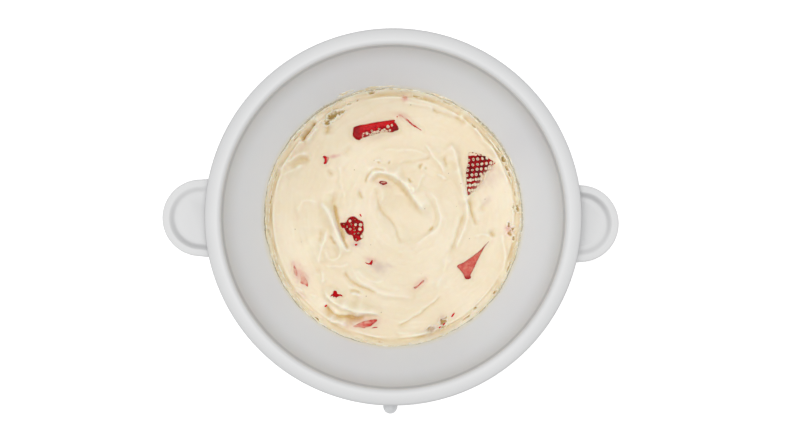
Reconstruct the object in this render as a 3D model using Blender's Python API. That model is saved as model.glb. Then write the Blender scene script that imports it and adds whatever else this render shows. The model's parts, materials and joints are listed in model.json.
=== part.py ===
"""Strawberry ice cream in the freezer bowl it is churned in.

The bowl is a thick double-skinned tub with a broad rim collar, two D-shaped ears and a
small locating pin. Cream-coloured ice cream fills the lower part of it, its top pushed
into folds by the churning paddle, with cut pieces of strawberry sitting in the surface.

Origin: centre of the flat base, on the bowl's turning axis. +Z is up, the ears lie along
X and the pin points to -Y.
"""

import math

import bmesh
import bpy
from mathutils import Vector

# ---------------------------------------------------------------- driving dimensions (m)
BOWL_HEIGHT = 0.150
RIM_RADIUS = 0.106              # outside of the rim collar
LIP_RADIUS = 0.0970             # inside of the rounded lip
COLLAR_HEIGHT = 0.020           # the vertical band under the rim
BASE_RADIUS = 0.072             # flat base, to the outside of its rounded edge
FLOOR_THICKNESS = 0.025         # base to inner floor

RIM_EDGE_ROUND = 0.0014
LIP_ROUND = 0.0026
LIP_STEP = 0.0005               # the lip's overhang over the liner wall
LIP_DROP = 0.0060               # rim top to where the liner wall starts
BASE_EDGE_ROUND = 0.007
FLOOR_FILLET = 0.012

WALL_TAPER = 0.31               # tangent of the liner wall's lower slope
WALL_SOFTENING = 0.014          # over this depth the wall turns from upright to sloped
OUTER_SHOULDER_RADIUS = 0.1010  # outer skin just under the collar
OUTER_BELLY = (0.099, 0.058)    # control point of the outer skin's curve (radius, height)

EAR_RADIUS = 0.0218
EAR_TIP_LEFT = 0.1308           # bowl axis to the ear's tip
EAR_TIP_RIGHT = 0.1279
EAR_LINE_Y = -0.0022            # the ears sit a little towards the pin
EAR_FLARE = 0.0009              # extra half width where the ear meets the collar
EAR_TOP_DROP = 0.0060           # rim top to the top of the ear's border
EAR_THICKNESS = 0.0125
EAR_EDGE_ROUND = 0.0012
EAR_BORDER = 0.0038
EAR_COVE = 0.0037               # width of the slope from the border to the recess floor
EAR_RECESS_DEEP = 0.0032        # recess depth at its deep side
EAR_RECESS_SHALLOW = 0.0006     # and where the floor has run up to the border
EAR_ROOT_X = 0.0990             # hidden inside the collar
EAR_RECESS_ROOT_X = 0.1015

PIN_RADIUS = 0.0041
PIN_TIP = 0.1122                # bowl axis to the end of the pin
PIN_DROP = 0.0115               # rim top to the pin's centre line
PIN_ROOT = 0.1035

CREAM_LEVEL = 0.0770            # mean height of the ice cream above the base
SWIRL = (0.0093, 0.0014)        # most folds run round this point
HOOK = (-0.0294, -0.0291)       # and the long middle fold round this one
BERRY_SHOULDER = 0.0008         # soft edge round the top of a strawberry piece
BERRY_CROWN = 0.90              # its top face against its outline
BERRY_FOOT = 0.80               # and its underside
CREAM_EDGE_DROP = 0.004         # the cream's uneven edge stays above this much under its level
SEAT_GAP = 0.0003               # between pieces that touch
CREAM_GAP = 0.0004              # between the ice cream and the liner

BOWL_STEPS = 48                 # facets round the bowl
CREAM_SECTORS = 60
CREAM_RINGS = 21

# --------------------------------------------------------------------------- helpers


def clear_scene():
    for item in list(bpy.data.objects):
        bpy.data.objects.remove(item, do_unlink=True)


def plain_material(name, colour, roughness, metallic=0.0):
    material = bpy.data.materials.new(name)
    material.use_nodes = True
    shader = material.node_tree.nodes["Principled BSDF"]
    shader.inputs["Base Color"].default_value = (*colour, 1.0)
    shader.inputs["Roughness"].default_value = roughness
    shader.inputs["Metallic"].default_value = metallic
    material.diffuse_color = (*colour, 1.0)
    return material


def object_from(mesh_maker, name, material, sharp_degrees=40.0):
    """Make a named object from a bmesh, with its normals facing out and shaded smooth."""
    bmesh.ops.recalc_face_normals(mesh_maker, faces=mesh_maker.faces)
    mesh = bpy.data.meshes.new(name)
    mesh_maker.to_mesh(mesh)
    mesh_maker.free()
    mesh.shade_smooth()
    mesh.set_sharp_from_angle(angle=math.radians(sharp_degrees))
    mesh.materials.append(material)
    thing = bpy.data.objects.new(name, mesh)
    bpy.context.scene.collection.objects.link(thing)
    return thing


def make_cutter(thing):
    thing.hide_render = True
    thing.display_type = "WIRE"
    return thing


def add_boolean(thing, other, operation):
    change = thing.modifiers.new(operation.title(), "BOOLEAN")
    change.operation = operation
    change.solver = "EXACT"
    change.object = other


def arc(centre, radius, start, end, steps):
    """Points of an arc in the profile plane; angles in degrees from the +R direction."""
    points = []
    for index in range(steps + 1):
        angle = math.radians(start + (end - start) * index / steps)
        points.append((centre[0] + radius * math.cos(angle), centre[1] + radius * math.sin(angle)))
    return points


def smooth_step(value):
    value = min(max(value, 0.0), 1.0)
    return value * value * (3.0 - 2.0 * value)


def lathe(profile, steps):
    """Turn an open profile whose two ends lie on the axis into one closed body."""
    maker = bmesh.new()
    bottom = maker.verts.new((0.0, 0.0, profile[0][1]))
    top = maker.verts.new((0.0, 0.0, profile[-1][1]))
    rings = []
    for radius, height in profile[1:-1]:
        ring = []
        for step in range(steps):
            angle = 2.0 * math.pi * step / steps
            ring.append(maker.verts.new((radius * math.cos(angle), radius * math.sin(angle), height)))
        rings.append(ring)
    for step in range(steps):
        after = (step + 1) % steps
        maker.faces.new((bottom, rings[0][after], rings[0][step]))
        maker.faces.new((top, rings[-1][step], rings[-1][after]))
        for lower, upper in zip(rings, rings[1:]):
            maker.faces.new((lower[step], lower[after], upper[after], upper[step]))
    return maker


# ------------------------------------------------------------------------ bowl profile


def wall_radius(height):
    """Radius of the liner wall: upright under the lip, then easing into its slope."""
    depth = max(BOWL_HEIGHT - LIP_DROP - height, 0.0)
    eased = math.sqrt(depth * depth + WALL_SOFTENING * WALL_SOFTENING) - WALL_SOFTENING
    return LIP_RADIUS - LIP_STEP - WALL_TAPER * eased


def liner_points(top, gap, steps):
    """Profile of the liner from height `top` down to the floor's centre, shrunk by `gap`."""
    slope = math.atan(WALL_TAPER)
    fillet = FLOOR_FILLET - gap
    centre_height = FLOOR_THICKNESS + FLOOR_FILLET
    centre_radius = wall_radius(centre_height) - FLOOR_FILLET / math.cos(slope)
    wall_end = centre_height - FLOOR_FILLET * math.sin(slope)
    points = []
    for step in range(steps):
        height = top + (wall_end - top) * step / steps
        points.append((wall_radius(height) - gap / math.cos(slope), height))
    points += arc((centre_radius, centre_height), fillet, -math.degrees(slope), -90.0, 3)
    points.append((0.0, FLOOR_THICKNESS + gap))
    return points


def outer_points(steps):
    """Profile of the outer skin, from the base's centre up to the underside of the collar."""
    points = [(0.0, 0.0)]
    edge_centre = (BASE_RADIUS - BASE_EDGE_ROUND, BASE_EDGE_ROUND)
    points += arc(edge_centre, BASE_EDGE_ROUND, -90.0, -14.0, 3)
    start = Vector(points[-1])
    control = Vector(OUTER_BELLY)
    end = Vector((OUTER_SHOULDER_RADIUS, BOWL_HEIGHT - COLLAR_HEIGHT))
    for step in range(1, steps + 1):
        share = step / steps
        spot = start * (1 - share) ** 2 + control * 2 * share * (1 - share) + end * share ** 2
        points.append((spot.x, spot.y))
    return points


def build_bowl(material):
    under_collar = BOWL_HEIGHT - COLLAR_HEIGHT
    profile = outer_points(7)
    corner = (RIM_RADIUS - RIM_EDGE_ROUND, under_collar + RIM_EDGE_ROUND)
    profile += arc(corner, RIM_EDGE_ROUND, -90.0, 0.0, 2)
    corner = (RIM_RADIUS - RIM_EDGE_ROUND, BOWL_HEIGHT - RIM_EDGE_ROUND)
    profile += arc(corner, RIM_EDGE_ROUND, 0.0, 90.0, 3)
    corner = (LIP_RADIUS + LIP_ROUND, BOWL_HEIGHT - LIP_ROUND)
    profile += arc(corner, LIP_ROUND, 90.0, 180.0, 4)
    profile.append((LIP_RADIUS, BOWL_HEIGHT - LIP_DROP + 2 * LIP_STEP))
    profile += liner_points(BOWL_HEIGHT - LIP_DROP, 0.0, 8)
    return object_from(lathe(profile, BOWL_STEPS), "bowl", material)


# ------------------------------------------------------------------------------- ears


def ear_outline(tip, side, inset, root_x):
    """Outline of an ear seen from above: a round end whose sides flare to the collar."""
    radius = EAR_RADIUS - inset
    centre_x = tip - EAR_RADIUS
    points = [(root_x, -radius - EAR_FLARE)]
    steps = 14
    for step in range(steps + 1):
        angle = math.radians(-90.0 + 180.0 * step / steps)
        points.append((centre_x + radius * math.cos(angle), radius * math.sin(angle)))
    points.append((root_x, radius + EAR_FLARE))
    return [(side * x, side * y + EAR_LINE_Y) for x, y in points]


def build_ear(name, tip, side, material):
    """One ear. Its recess floor runs up to the border along one side, so the two ears are
    each other's half turn."""
    top = BOWL_HEIGHT - EAR_TOP_DROP
    bottom = top - EAR_THICKNESS
    levels = [
        (EAR_EDGE_ROUND, bottom, EAR_ROOT_X),
        (0.0, bottom + EAR_EDGE_ROUND, EAR_ROOT_X),
        (0.0, top - EAR_EDGE_ROUND, EAR_ROOT_X),
        (EAR_EDGE_ROUND * 0.3, top - EAR_EDGE_ROUND * 0.3, EAR_ROOT_X),
        (EAR_EDGE_ROUND, top, EAR_ROOT_X),
        (EAR_BORDER, top, EAR_RECESS_ROOT_X),
        (EAR_BORDER + EAR_COVE * 0.5, None, EAR_RECESS_ROOT_X),
        (EAR_BORDER + EAR_COVE, None, EAR_RECESS_ROOT_X),
    ]
    maker = bmesh.new()
    rings = []
    for number, (inset, height, root_x) in enumerate(levels):
        ring = []
        for x, y in ear_outline(tip, side, inset, root_x):
            if height is None:
                across = (side * (y - EAR_LINE_Y) / EAR_RADIUS + 1.0) / 2.0
                depth = EAR_RECESS_SHALLOW + (EAR_RECESS_DEEP - EAR_RECESS_SHALLOW) * across
                share = 0.62 if number == len(levels) - 2 else 1.0
                ring.append(maker.verts.new((x, y, top - depth * share)))
            else:
                ring.append(maker.verts.new((x, y, height)))
        rings.append(ring)
    for lower, upper in zip(rings, rings[1:]):
        for index in range(len(lower)):
            after = (index + 1) % len(lower)
            maker.faces.new((lower[index], lower[after], upper[after], upper[index]))
    maker.faces.new(list(reversed(rings[0])))
    maker.faces.new(rings[-1])
    return make_cutter(object_from(maker, name, material))


# -------------------------------------------------------------------------------- pin


def turned_along_y(maker, start, end, radius, round_end, steps=14):
    """A round bar from y = -start out to y = -end, with a flat or a ball end."""
    profile = [(0.0, start), (radius, start)]
    if round_end:
        profile += [(r, y) for r, y in arc((0.0, end - radius), radius, 0.0, 90.0, 5)]
    else:
        profile += [(radius, end), (0.0, end)]
    rings = []
    for r, y in profile[1:-1]:
        ring = []
        for step in range(steps):
            angle = 2.0 * math.pi * step / steps
            spot = (r * math.cos(angle), -y, BOWL_HEIGHT - PIN_DROP + r * math.sin(angle))
            ring.append(maker.verts.new(spot))
        rings.append(ring)
    first = maker.verts.new((0.0, -start, BOWL_HEIGHT - PIN_DROP))
    last = maker.verts.new((0.0, -end, BOWL_HEIGHT - PIN_DROP))
    for step in range(steps):
        after = (step + 1) % steps
        maker.faces.new((first, rings[0][step], rings[0][after]))
        maker.faces.new((last, rings[-1][after], rings[-1][step]))
        for inner, outer in zip(rings, rings[1:]):
            maker.faces.new((inner[step], outer[step], outer[after], inner[after]))
    return maker


def build_pin(material):
    body = turned_along_y(bmesh.new(), PIN_ROOT, PIN_TIP, PIN_RADIUS, True)
    return object_from(body, "bowl_pin", material)


def build_pin_socket(material):
    start = PIN_ROOT - SEAT_GAP
    end = RIM_RADIUS + PIN_RADIUS
    body = turned_along_y(bmesh.new(), start, end, PIN_RADIUS + SEAT_GAP, False)
    return make_cutter(object_from(body, "pin_socket_cutter", material))


# ------------------------------------------------------------------- ice cream surface


def fold(x, y, centre, turn_from, turn_to, reach_from, reach_to, height, inner, outer):
    """Height added by one curved fold.

    Its crest runs round `centre` from bearing `turn_from` to `turn_to` (degrees) while its
    distance goes from `reach_from` to `reach_to`; `inner` and `outer` are the widths of its
    two flanks, so a narrow one is the steep face of an overlapping fold. A negative height
    is a crease.
    """
    away_x = x - centre[0]
    away_y = y - centre[1]
    sweep = turn_to - turn_from
    halfway = (turn_from + turn_to) / 2.0
    bearing = math.degrees(math.atan2(away_y, away_x))
    off_middle = (bearing - halfway + 180.0) % 360.0 - 180.0
    along = 0.5 + off_middle / sweep
    fade = smooth_step((along + FOLD_FADE) / (2 * FOLD_FADE))
    fade *= smooth_step((1.0 + FOLD_FADE - along) / (2 * FOLD_FADE))
    crest = reach_from + (reach_to - reach_from) * min(max(along, 0.0), 1.0)
    across = math.hypot(away_x, away_y) - crest
    width = inner if across < 0.0 else outer
    return height * fade * math.exp(-(across / width) ** 2)


FOLD_FADE = 0.2
FOLDS = (
    # centre; from, to bearing; from, to reach; height; inner flank, outer flank
    (HOOK, 82.0, 26.0, 0.0590, 0.0610, 0.0042, 0.0024, 0.0070),
    (SWIRL, 30.0, -60.0, 0.0205, 0.0195, 0.0022, 0.0030, 0.0040),
    (SWIRL, 78.0, -26.0, 0.0440, 0.0330, 0.0030, 0.0065, 0.0035),
    (SWIRL, 52.0, -8.0, 0.0450, 0.0420, -0.0018, 0.0020, 0.0030),
    (SWIRL, -26.0, -50.0, 0.0330, 0.0375, 0.0028, 0.0050, 0.0040),
    (SWIRL, -50.0, -95.0, 0.0375, 0.0690, 0.0026, 0.0045, 0.0050),
    (SWIRL, 160.0, 216.0, 0.0470, 0.0425, -0.0036, 0.0026, 0.0018),
    (SWIRL, 160.0, 222.0, 0.0590, 0.0560, 0.0026, 0.0080, 0.0070),
    (SWIRL, 218.0, 278.0, 0.0500, 0.0510, 0.0022, 0.0060, 0.0026),
    (SWIRL, 226.0, 250.0, 0.0590, 0.0590, 0.0018, 0.0040, 0.0024),
    (SWIRL, 228.0, 258.0, 0.0740, 0.0620, 0.0034, 0.0070, 0.0026),
    (SWIRL, 70.0, 125.0, 0.0600, 0.0620, 0.0020, 0.0090, 0.0080),
    (SWIRL, -20.0, -60.0, 0.0560, 0.0600, 0.0016, 0.0080, 0.0060),
)
BASIN_LONG = 0.0225
BASIN_SHORT = 0.0150
BASIN_TURN = math.radians(-45.0)
BASIN_DEPTH = 0.0034
PEAK = (-0.0392, -0.0167)
PEAK_HEIGHT = 0.0032
PEAK_SPREAD = 0.0070


def cream_height(x, y):
    height = CREAM_LEVEL
    for row in FOLDS:
        height += fold(x, y, *row)
    away_x = x - SWIRL[0]
    away_y = y - SWIRL[1]
    long_way = away_x * math.cos(BASIN_TURN) + away_y * math.sin(BASIN_TURN)
    short_way = away_y * math.cos(BASIN_TURN) - away_x * math.sin(BASIN_TURN)
    reach = math.hypot(long_way / BASIN_LONG, short_way / BASIN_SHORT)
    height -= BASIN_DEPTH * smooth_step(1.3 - reach)
    from_peak = math.hypot(x - PEAK[0], y - PEAK[1])
    height += PEAK_HEIGHT * math.exp(-(from_peak / PEAK_SPREAD) ** 2)
    bearing = math.atan2(y, x)
    height += 0.0006 * math.sin(3.0 * bearing + 0.6) + 0.0004 * math.sin(7.0 * bearing)
    return height


def build_cream(material):
    """The ice cream: the relief on top, the liner's form (less a gap) below."""
    maker = bmesh.new()
    rings = [[] for _ in range(CREAM_RINGS + 1)]
    edge_heights = []
    for sector in range(CREAM_SECTORS):
        bearing = 2.0 * math.pi * sector / CREAM_SECTORS
        way = Vector((math.cos(bearing), math.sin(bearing)))
        start = Vector(SWIRL)
        limit = wall_radius(CREAM_LEVEL) - CREAM_GAP
        along = start.dot(way)
        reach = -along + math.sqrt(along * along + limit * limit - start.length_squared)
        for number in range(1, CREAM_RINGS + 1):
            spot = start + way * reach * number / CREAM_RINGS
            height = cream_height(spot.x, spot.y)
            if number == CREAM_RINGS:
                spot = spot.normalized() * (wall_radius(height) - CREAM_GAP * 1.1)
                edge_heights.append((math.atan2(spot.y, spot.x), height))
            rings[number].append(maker.verts.new((spot.x, spot.y, height)))
    middle = maker.verts.new((*SWIRL, cream_height(*SWIRL)))
    for sector in range(CREAM_SECTORS):
        after = (sector + 1) % CREAM_SECTORS
        maker.faces.new((middle, rings[1][sector], rings[1][after]))
        for number in range(1, CREAM_RINGS):
            inner = rings[number]
            outer = rings[number + 1]
            maker.faces.new((inner[sector], outer[sector], outer[after], inner[after]))
    above = rings[CREAM_RINGS]
    below_level = liner_points(CREAM_LEVEL - CREAM_EDGE_DROP, CREAM_GAP, 3)
    for radius, height in below_level[:-1]:
        ring = []
        for bearing, _ in edge_heights:
            ring.append(maker.verts.new((radius * math.cos(bearing), radius * math.sin(bearing), height)))
        for sector in range(CREAM_SECTORS):
            after = (sector + 1) % CREAM_SECTORS
            maker.faces.new((above[sector], ring[sector], ring[after], above[after]))
        above = ring
    floor = maker.verts.new((0.0, 0.0, below_level[-1][1]))
    for sector in range(CREAM_SECTORS):
        after = (sector + 1) % CREAM_SECTORS
        maker.faces.new((above[sector], floor, above[after]))
    return object_from(maker, "ice_cream", material, sharp_degrees=60.0)


# ----------------------------------------------------------------- strawberry pieces


def round_corners(outline, cut=0.0010):
    """Each corner becomes two points, `cut` back along its sides."""
    points = []
    for index, here in enumerate(outline):
        here = Vector(here)
        before = Vector(outline[index - 1])
        after = Vector(outline[(index + 1) % len(outline)])
        for other in (before, after):
            side = other - here
            points.append(tuple(here + side.normalized() * min(cut, side.length * 0.3)))
    return points


def bar_outline(length, width, end_round):
    """A bar with one rounded end (at -X) and one square end."""
    half = width / 2.0
    centre_x = end_round - length / 2.0
    points = [(length / 2.0, -half), (length / 2.0, half)]
    points += arc((centre_x, half - end_round), end_round, 90.0, 180.0, 2)
    points += arc((centre_x, end_round - half), end_round, 180.0, 270.0, 2)
    return points


def slice_outline(length, width, knuckle):
    """A pointed slice: tip at +X, cut square at -X, one side bent in at the middle."""
    back = -length / 2.0
    return round_corners([
        (length / 2.0, 0.0),
        (length * 0.20, width * 0.16 + knuckle),
        (back, width / 2.0),
        (back - knuckle, -width * 0.38),
        (back + width * 0.18, -width / 2.0),
    ])


def wedge_outline(height, base, skew, slope=0.0):
    """A cut wedge: its base along X at +Y, `slope` lower at +X, and its point at -Y."""
    half = height / 2.0
    return round_corners([(skew, -half), (base / 2.0, half - slope), (-base / 2.0, half)])


def chunk_outline(length, width, knobs):
    """An uneven lump: an ellipse whose radius swells and shrinks `knobs` times."""
    points = []
    steps = 10
    for step in range(steps):
        angle = 2.0 * math.pi * step / steps
        swell = 1.0 + 0.12 * math.sin(knobs * angle + 0.8)
        points.append((length / 2.0 * swell * math.cos(angle), width / 2.0 * swell * math.sin(angle)))
    return points


def place_outline(outline, spot, turn):
    cosine = math.cos(math.radians(turn))
    sine = math.sin(math.radians(turn))
    return [(spot[0] + x * cosine - y * sine, spot[1] + x * sine + y * cosine) for x, y in outline]


def widen_outline(outline, distance):
    """Move every side of an outline that runs anticlockwise outwards."""
    moved = []
    for index, here in enumerate(outline):
        here = Vector(here)
        one = (here - Vector(outline[index - 1])).normalized()
        two = (Vector(outline[(index + 1) % len(outline)]) - here).normalized()
        one_out = Vector((one.y, -one.x))
        two_out = Vector((two.y, -two.x))
        middle = (one_out + two_out).normalized()
        share = max(middle.dot(one_out), 0.5)
        moved.append(tuple(here + middle * distance / share))
    return moved


def shrink_outline(outline, share):
    """Scale an outline about its middle."""
    middle = Vector((0.0, 0.0))
    for point in outline:
        middle += Vector(point) / len(outline)
    return [tuple(middle + (Vector(point) - middle) * share) for point in outline]


def stacked(outline_levels):
    """A closed body through a stack of matching outlines, each point with its height."""
    maker = bmesh.new()
    rings = [[maker.verts.new(point) for point in level] for level in outline_levels]
    for lower, upper in zip(rings, rings[1:]):
        for index in range(len(lower)):
            after = (index + 1) % len(lower)
            maker.faces.new((lower[index], lower[after], upper[after], upper[index]))
    maker.faces.new(list(reversed(rings[0])))
    maker.faces.new(rings[-1])
    return maker


def build_berry(name, spot, turn, outline, proud, bury, lean, material):
    """One strawberry piece and the cutter for the pocket it sits in.

    `proud` is how far its top stands over the ice cream, `bury` how deep it goes in and
    `lean` (dx, dy) how the top face slopes.
    """
    placed = place_outline(outline, spot, turn)
    level = cream_height(*spot)

    def top_at(x, y):
        return level + proud + (x - spot[0]) * lean[0] + (y - spot[1]) * lean[1]

    shoulder = min(BERRY_SHOULDER, proud * 0.6)
    levels = [
        [(x, y, level - bury) for x, y in shrink_outline(placed, BERRY_FOOT)],
        [(x, y, level - bury + shoulder) for x, y in placed],
        [(x, y, top_at(x, y) - shoulder) for x, y in placed],
        [(x, y, top_at(x, y)) for x, y in shrink_outline(placed, BERRY_CROWN)],
    ]
    berry = object_from(stacked(levels), name, material, sharp_degrees=50.0)
    wide = widen_outline(placed, SEAT_GAP)
    over = BOWL_HEIGHT
    pocket_levels = [
        [(x, y, level - bury - SEAT_GAP) for x, y in wide],
        [(x, y, over) for x, y in wide],
    ]
    pocket = make_cutter(object_from(stacked(pocket_levels), name + "_pocket", material))
    return berry, pocket


def build_berries(material):
    """Every piece: name, place (x, y), turn in degrees, outline, height over the cream,
    depth into it, and how its top leans."""
    level = (0.0, 0.0)
    pieces = (
        ("strawberry_bar", (-0.0118, 0.0543), 11.0, bar_outline(0.0290, 0.0085, 0.0030),
         0.0030, 0.0080, (0.02, 0.06)),
        ("strawberry_sliver", (0.0090, 0.0593), -32.0, bar_outline(0.0175, 0.0024, 0.0010),
         0.0009, 0.0050, level),
        ("strawberry_wedge", (0.0545, 0.0277), 0.0, wedge_outline(0.0262, 0.0168, -0.0082, 0.0052),
         0.0018, 0.0100, (-0.05, 0.0)),
        ("strawberry_chunk", (-0.0255, -0.0083), 118.0, chunk_outline(0.0190, 0.0135, 3),
         0.0028, 0.0100, (0.05, 0.0)),
        ("strawberry_slice", (0.0518, -0.0238), 51.0, slice_outline(0.0250, 0.0108, 0.0008),
         0.0016, 0.0060, (0.0, 0.03)),
        ("strawberry_corner", (-0.0418, 0.0351), 35.0, wedge_outline(0.0062, 0.0060, 0.0),
         0.0010, 0.0060, level),
        ("strawberry_tucked", (-0.0066, 0.0213), -10.0, bar_outline(0.0065, 0.0040, 0.0015),
         0.0012, 0.0060, level),
        ("strawberry_stick", (0.0168, -0.0414), 40.0, bar_outline(0.0095, 0.0023, 0.0010),
         0.0010, 0.0050, level),
        ("strawberry_strip", (-0.0612, -0.0328), -68.0, bar_outline(0.0080, 0.0026, 0.0010),
         0.0008, 0.0050, level),
        ("strawberry_flap", (-0.0545, -0.0410), -60.0, bar_outline(0.0095, 0.0042, 0.0015),
         0.0008, 0.0050, level),
        ("strawberry_scrap", (-0.0346, -0.0484), -8.0, chunk_outline(0.0092, 0.0050, 2),
         0.0012, 0.0060, level),
        ("strawberry_fin", (-0.0162, -0.0669), 8.0, slice_outline(0.0170, 0.0056, 0.0004),
         0.0012, 0.0060, level),
        ("strawberry_nub", (-0.0149, -0.0282), -25.0, chunk_outline(0.0048, 0.0030, 2),
         0.0010, 0.0050, level),
    )
    return [build_berry(*piece, material) for piece in pieces]


# ------------------------------------------------------------------------------ build


def build():
    clear_scene()
    tub = plain_material("bowl_plastic", (0.70, 0.71, 0.72), 0.42)
    pin_finish = plain_material("pin_plastic", (0.66, 0.67, 0.68), 0.38)
    cream = plain_material("ice_cream", (0.88, 0.77, 0.56), 0.48)
    berry = plain_material("strawberry", (0.50, 0.03, 0.03), 0.35)

    bowl = build_bowl(tub)
    add_boolean(bowl, build_ear("left_ear_blank", EAR_TIP_LEFT, -1.0, tub), "UNION")
    add_boolean(bowl, build_ear("right_ear_blank", EAR_TIP_RIGHT, 1.0, tub), "UNION")
    add_boolean(bowl, build_pin_socket(tub), "DIFFERENCE")
    build_pin(pin_finish)

    ice_cream = build_cream(cream)
    for _, pocket in build_berries(berry):
        add_boolean(ice_cream, pocket, "DIFFERENCE")


build()
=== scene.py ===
# %% [markdown]
# # Strawberry ice cream in its freezer bowl
#
# The object is a deep round freezer bowl of pale moulded plastic, part filled with churned
# ice cream in which cut strawberries lie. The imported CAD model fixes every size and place.
# Each cell below makes one piece or one finish over that model, first the bowl, then the
# ice cream, then the fruit.

import json
import math

import bmesh
import bpy
import numpy as np
from mathutils import Matrix, Vector
from mathutils.geometry import delaunay_2d_cdt

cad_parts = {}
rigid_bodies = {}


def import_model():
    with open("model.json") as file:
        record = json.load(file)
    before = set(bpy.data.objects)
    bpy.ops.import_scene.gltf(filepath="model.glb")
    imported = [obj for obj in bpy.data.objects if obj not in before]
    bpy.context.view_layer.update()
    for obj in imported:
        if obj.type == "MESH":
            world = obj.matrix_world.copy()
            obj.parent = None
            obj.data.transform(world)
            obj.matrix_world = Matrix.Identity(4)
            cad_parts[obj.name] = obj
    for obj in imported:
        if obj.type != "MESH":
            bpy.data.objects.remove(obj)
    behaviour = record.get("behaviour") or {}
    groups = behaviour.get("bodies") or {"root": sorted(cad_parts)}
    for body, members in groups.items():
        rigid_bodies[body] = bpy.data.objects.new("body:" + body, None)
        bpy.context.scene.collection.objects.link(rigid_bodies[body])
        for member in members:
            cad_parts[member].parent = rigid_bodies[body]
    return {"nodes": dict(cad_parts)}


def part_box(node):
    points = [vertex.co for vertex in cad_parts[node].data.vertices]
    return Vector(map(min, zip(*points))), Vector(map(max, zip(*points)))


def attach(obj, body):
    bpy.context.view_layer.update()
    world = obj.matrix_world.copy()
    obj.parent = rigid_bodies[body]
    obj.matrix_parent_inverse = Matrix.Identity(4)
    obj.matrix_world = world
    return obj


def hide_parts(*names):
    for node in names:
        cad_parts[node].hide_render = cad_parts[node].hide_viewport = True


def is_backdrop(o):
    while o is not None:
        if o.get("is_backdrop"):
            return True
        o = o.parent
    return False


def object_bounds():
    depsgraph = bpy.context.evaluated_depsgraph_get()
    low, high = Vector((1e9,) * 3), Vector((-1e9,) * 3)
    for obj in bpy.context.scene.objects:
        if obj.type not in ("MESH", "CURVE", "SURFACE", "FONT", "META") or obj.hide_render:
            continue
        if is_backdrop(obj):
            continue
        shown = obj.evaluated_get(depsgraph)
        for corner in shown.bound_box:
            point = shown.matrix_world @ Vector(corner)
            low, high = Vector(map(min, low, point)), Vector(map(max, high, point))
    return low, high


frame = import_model()
cad_low, cad_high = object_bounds()
MM = 0.001
print("CAD nodes:", len(frame["nodes"]), "box", cad_low, cad_high)

# %% [markdown]
# ## Camera, floor and light
#
# The bowl is seen from straight above its mouth, a little off its axis and turned by less
# than a degree. A long lens could flatten the view, but the inner wall and the rim would
# then show too narrow, so the camera stands a natural 65 cm over the rim. The floor is a
# light table: it glows softly, so the bowl stands on plain white with hardly a shadow.

# %% Camera
RIM_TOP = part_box("bowl")[1].z
CAMERA_OVER_RIM = 0.650
VIEW_WIDTH_AT_RIM = 0.440
SENSOR_MM = 36.0
CAMERA_TURN = math.radians(0.88)
CAMERA_SHIFT = Vector((-0.39 * MM, -2.02 * MM, 0.0))   # off the bowl's axis, in the camera's own directions

camera_data = bpy.data.cameras.new("camera")
camera_data.sensor_width = SENSOR_MM
camera_data.lens = SENSOR_MM * CAMERA_OVER_RIM / VIEW_WIDTH_AT_RIM
camera = bpy.data.objects.new("camera", camera_data)
camera.rotation_euler = (0.0, 0.0, CAMERA_TURN)
camera_height = Vector((0.0, 0.0, RIM_TOP + CAMERA_OVER_RIM))
camera.location = Matrix.Rotation(CAMERA_TURN, 3, "Z") @ CAMERA_SHIFT + camera_height
bpy.context.scene.collection.objects.link(camera)
bpy.context.scene.camera = camera
bpy.context.scene.view_settings.view_transform = "Standard"
print("lens", round(camera_data.lens, 1), "mm")

# %% [markdown]
# ## Writing node trees as arithmetic
#
# A shader or a Geometry Nodes tree is a page of small sums. Wiring each sum by hand hides
# it, so one class wraps a socket and lets Python's operators add the Math nodes, and one
# method adds any other node.


# %% Sockets that take part in arithmetic
class Wire:
    """An output socket of a node tree. Arithmetic on it adds Math nodes."""

    def __init__(self, book, socket):
        self.book = book
        self.socket = socket

    def calc(self, operation, *values):
        return self.book.add("ShaderNodeMath", {"operation": operation}, values)

    def __add__(self, other):
        return self.calc("ADD", self, other)

    def __radd__(self, other):
        return self.calc("ADD", other, self)

    def __sub__(self, other):
        return self.calc("SUBTRACT", self, other)

    def __rsub__(self, other):
        return self.calc("SUBTRACT", other, self)

    def __mul__(self, other):
        return self.calc("MULTIPLY", self, other)

    def __rmul__(self, other):
        return self.calc("MULTIPLY", other, self)

    def __truediv__(self, other):
        return self.calc("DIVIDE", self, other)

    def __pow__(self, other):
        return self.calc("POWER", self, other)

    def ease(self, low, high):
        """0 below `low`, 1 above `high`, smooth between them."""
        settings = {"interpolation_type": "SMOOTHSTEP"}
        return self.book.add("ShaderNodeMapRange", settings, (self, low, high, 0.0, 1.0))

    def band(self, low, full_from, full_to, high):
        """1 from `full_from` to `full_to`, easing to 0 at `low` and at `high`."""
        return self.ease(low, full_from) * (1.0 - self.ease(full_to, high))


class NodeBook:
    """A node tree with one method that adds a node, sets it and feeds its sockets."""

    def __init__(self, tree):
        self.tree = tree

    def add(self, kind, settings=None, values=(), output=0):
        node = self.tree.nodes.new(kind)
        for key, value in (settings or {}).items():
            setattr(node, key, value)
        sockets = [socket for socket in node.inputs if socket.enabled]
        if isinstance(values, dict):
            pairs = [(next(s for s in sockets if s.name == name), value) for name, value in values.items()]
        else:
            pairs = zip(sockets, values)
        for socket, value in pairs:
            self.feed(socket, value)
        return Wire(self, [socket for socket in node.outputs if socket.enabled][output])

    def feed(self, socket, value):
        if isinstance(value, Wire):
            self.tree.links.new(value.socket, socket)
        elif value is not None:
            socket.default_value = (*value, 1.0) if socket.type == "RGBA" else value


# %% [markdown]
# ## A class for finishes
#
# Every finish here is one Principled shader whose colour, roughness and bump vary over the
# surface. The constants go on the shader's own sockets. What varies is built from noise in
# object coordinates, which are metres, and from attributes that the meshes carry.


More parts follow.
